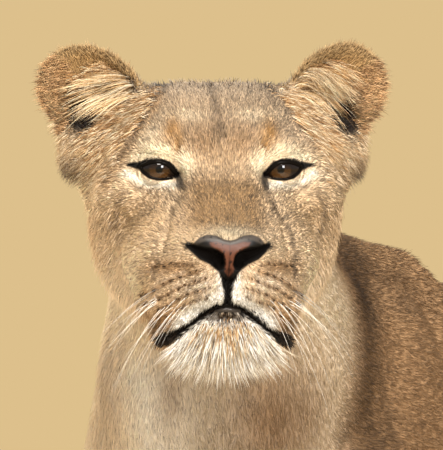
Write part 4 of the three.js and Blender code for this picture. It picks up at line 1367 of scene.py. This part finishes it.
def lidRims():
    outline = rounded(face["opening"], 72)
    for side, name in ((1, "left"), (-1, "right")):
        upper = smooth(-3, 3, outline[:, 1] - np.interp(outline[:, 0], [41, 81], [-4.8, 3.6]))
        outward = outline + (outline - outline.mean(0)) * [[0.03, 0.10]]
        y = eyeSurface(outward[:, 0], outward[:, 1]) - 0.6
        points = toWorld(fromHead(np.column_stack([side * outward[:, 0], y, outward[:, 1]])))
        tube(f"lid_rim_{name}", points, 1.0 + 0.9 * upper, rimMaterial, closed=True)

def lips():
    for side, name in ((1, "left"), (-1, "right")):
        line = rounded(face["mouth"], 26, closed=False)
        places = np.array([placeOnFace(side * x - muzzleLean, z) for x, z in line])
        along = np.linspace(0, 1, len(line))
        radii = np.interp(along, [0, 0.15, 0.6, 0.85, 1], [2.2, 1.5, 1.2, 1.8, 0.3])
        places[:, 1] += radii * 0.45
        tube(f"lip_{name}", toWorld(fromHead(places)), radii, rimMaterial)
    # The lower lip's grey is a painted sheen on black skin; the moist lip material adds its own gloss.
    across = np.linspace(-11, 11, 15)
    places = np.array([placeOnFace(x - muzzleLean, -127.6 - 0.012 * x ** 2) for x in across])
    radii = 2.3 * np.sqrt(1 - (across / 12) ** 2)
    places[:, 1] += radii * 0.35
    tube("lower_lip", toWorld(fromHead(places)), radii, lipMaterial, colour="#332E2A")

lidRims()
lips()

whisker = {
    "width": 0.8, "length": 34, "outerLength": 80, "segments": 9, "alongRow": (0.1, 0.35, 0.6, 0.8, 1.0),
    "follicles": (6, 7, 7, 6, 4), "colour": "#FFFCF4",
}

def follicles():
    # Dark points in rows on the pads, where the whiskers grow.
    spots = []
    for side in (1, -1):
        for row, points in enumerate(whiskerRows):
            line = rounded(points, whisker["follicles"][row], closed=False)
            spots += [placeOnFace(side * x - muzzleLean, z) for x, z in line + rng.normal(0, 0.7, line.shape)]
    h = np.repeat(np.array(spots), 7, axis=0)
    h += rng.normal(0, 1, h.shape) * [0.75, 0.2, 0.55]
    p, n = fromHead(h), np.tile(-headAxes[1], (len(h), 1))
    start, over = lifted(turned(lieOfCoat(p, n), n, rng.normal(0, 20, len(h))), n, np.full(len(h), 24.0))
    length = rng.uniform(2.0, 3.6, len(h))
    growTufts("follicles", p, nearestSpots(p), start, over, length, np.full(len(h), 1.0),
              mixed(["umber", "#5A3D22", "black"], len(h)), shades=(0.9, 1.1))

def whiskers():
    # The second row's whiskers are dark at the root. The rows below it are pale all along.
    for name, rows, shades in (
            ("whiskers_upper", (1,), (0.02, 1.25)), ("whiskers_lower", (2, 3, 4), (0.9, 1.0))):
        roots, starts, bends, lengths = [], [], [], []
        for side in (1, -1):
            for row in rows:
                inner, outer = np.array(whiskerRows[row][-2:], float)
                for t in whisker["alongRow"]:
                    x, z = inner * (1 - t) + outer * t
                    x, z = min(x, 63) + rng.normal(0, 1.5), z + rng.normal(0, 1.5)
                    roots.append(placeOnFace(side * x - muzzleLean, z))
                    starts.append([side * 0.85, 0.1, -0.3 - 0.17 * row + rng.normal(0, 0.14)])
                    bends.append([-side * 0.05, 0.5, -0.32 + rng.normal(0, 0.14)])
                    length = whisker["length"] + (whisker["outerLength"] - whisker["length"]) * t
                    lengths.append(length * rng.uniform(0.7, 1.2))
        start = unit(np.array(starts)) @ headAxes
        over = unit(np.cross(start, np.cross(np.array([[0, 0, 1.0]]), start)))
        p = fromHead(np.array(roots))
        colours = np.tile(linear(whisker["colour"]), (len(p), 1))
        growTufts(name, p, nearestSpots(p), start, over, np.array(lengths), np.full(len(p), whisker["width"]),
                  colours, np.array(bends) @ headAxes, whisker["segments"], shades, longHair)

def nearestSpots(p):
    # The place on the skin's unwrap nearest to each point.
    found = []
    for place in toWorld(p):
        _, _, index, _ = skinTree.find_nearest(Vector(place))
        loops = skin.data.polygons[index].loop_indices
        found.append(np.mean([allSpots.reshape(-1, 2)[i] for i in loops], axis=0))
    return np.array(found, float)

follicles()
whiskers()
print("eyes, lids, lips and whiskers made")

# Skin and short fur of a lion: matt, with the grain of the hairs too fine to model.
def makeSkinMaterial():
    material, tree, shader = newMaterial("short fur")
    colour = addNode(tree, "ShaderNodeAttribute", {"attribute_name": "coatColour"})
    wet = addNode(tree, "ShaderNodeAttribute", {"attribute_name": "wet"})
    # The grain stands for single hairs, and is drawn coarser than they are so that it shows.
    place = addNode(tree, "ShaderNodeTexCoord")
    grain = addNode(tree, "ShaderNodeTexNoise", {"Scale": 1000 * skinShape["grainsPerMm"], "Detail": 2.0},
                    {"Vector": place.outputs["Object"]})
    raised = addNode(tree, "ShaderNodeBump", {"Strength": 0.35, "Distance": 0.0006},
                     {"Height": grain.outputs["Fac"]})
    # Dry fur is matt. The leather of the nose and the rims of the lips have a moist sheen.
    rough = addNode(tree, "ShaderNodeMapRange", {"To Min": 0.8, "To Max": 0.42},
                    {"Value": wet.outputs["Fac"]})
    tree.links.new(colour.outputs["Color"], shader.inputs["Base Color"])
    tree.links.new(raised.outputs["Normal"], shader.inputs["Normal"])
    shine = addNode(tree, "ShaderNodeMapRange", {"To Min": 0.04, "To Max": 0.3},
                    {"Value": wet.outputs["Fac"]})
    tree.links.new(rough.outputs["Result"], shader.inputs["Roughness"])
    tree.links.new(shine.outputs["Result"], shader.inputs["Specular IOR Level"])
    bare = bareShare(skinPoints, skinNormals)
    h = toHead(skinPoints)
    nostril, _ = strokeDistance(np.abs(fromMidline(h)), h[:, 2], face["nostril"])
    nearLids = smooth(10, 3, insideOf(np.abs(h[:, 0]), h[:, 2], face["opening"])) * (h[:, 1] < 30)
    wetness = bare * smooth(2.0, 7.0, nostril) * (1 - 0.85 * nearLids)
    wetness *= 0.3 + 0.7 * smooth(-80, -72, h[:, 2])
    # Between the roots of the hairs the skin is in shade.
    lit = np.maximum(np.maximum(bare, nearLids), 0.25 * smooth(90, 160, h[:, 1]))
    setColours(skin.data, skinColours * (0.5 + 0.5 * lit)[:, None])
    layer = skin.data.color_attributes.new("wet", "FLOAT_COLOR", "POINT")
    layer.data.foreach_set("color", np.repeat(wetness, 4).astype(np.float32))
    skin.data.materials.clear()
    skin.data.materials.append(material)

makeSkinMaterial()

# The floor is pale and matt, like painted board.
def makeFloor():
    bm = bmesh.new()
    bmesh.ops.create_circle(bm, cap_ends=True, segments=96, radius=7)
    mesh = bpy.data.meshes.new("floor")
    bm.to_mesh(mesh)
    bm.free()
    material, _, shader = newMaterial("studio floor")
    shader.inputs["Base Color"].default_value = (*linear("#D8CBB4"), 1)
    shader.inputs["Roughness"].default_value = 0.8
    mesh.materials.append(material)
    newPiece("floor", mesh)

# Angle from the camera's side and height in degrees, distance and size in metres, watts, colour,
# and whether the wet surfaces mirror it.
lights = {
    "key": (-4, 46, 2.6, 0.95, 100, "#FFF8EE", True), "rim": (-140, 30, 2.6, 1.0, 90, "#FFF2DC", True),
    "front": (20, 21, 3.2, 0.8, 62, "#FFFFFF", True), "low fill": (14, -6, 3.0, 1.8, 82, "#FFF6EA", False),
}

def addLight(name, azimuth, elevation, distance, size, power, colour, reflected):
    # A square soft box aimed at the head.
    a, e = math.radians(view["azimuth"] + azimuth), math.radians(elevation)
    away = Vector((math.sin(a) * math.cos(e), -math.cos(a) * math.cos(e), math.sin(e)))
    data = bpy.data.lights.new(name, "AREA")
    data.size = size
    data.energy = power
    data.color = linear(colour)
    light = bpy.data.objects.new(name, data)
    light.location = Vector(eyeMiddle) + away * distance
    light.rotation_euler = (-away).to_track_quat("-Z", "Y").to_euler()
    light.visible_glossy = reflected
    bpy.context.collection.objects.link(light)

def lightStudio():
    scene = bpy.context.scene
    scene.view_settings.view_transform = "Standard"
    world = bpy.data.worlds.new("studio")
    world.use_nodes = True
    tree = world.node_tree
    place = addNode(tree, "ShaderNodeTexCoord")
    height = addNode(tree, "ShaderNodeSeparateXYZ", links={"Vector": place.outputs["Generated"]})
    ramp = addNode(tree, "ShaderNodeValToRGB", links={"Fac": height.outputs["Z"]})
    shades = ramp.color_ramp.elements
    shades[0].position, shades[0].color = 0.03, (*linear("#DDC08C"), 1)
    shades[1].position, shades[1].color = 0.12, (*linear("#C4C2BE"), 1)
    tree.links.new(ramp.outputs["Color"], tree.nodes["Background"].inputs["Color"])
    scene.world = world
    for name, settings in lights.items():
        addLight(name, *settings)

makeFloor()
lightStudio()
print("floor and light set")
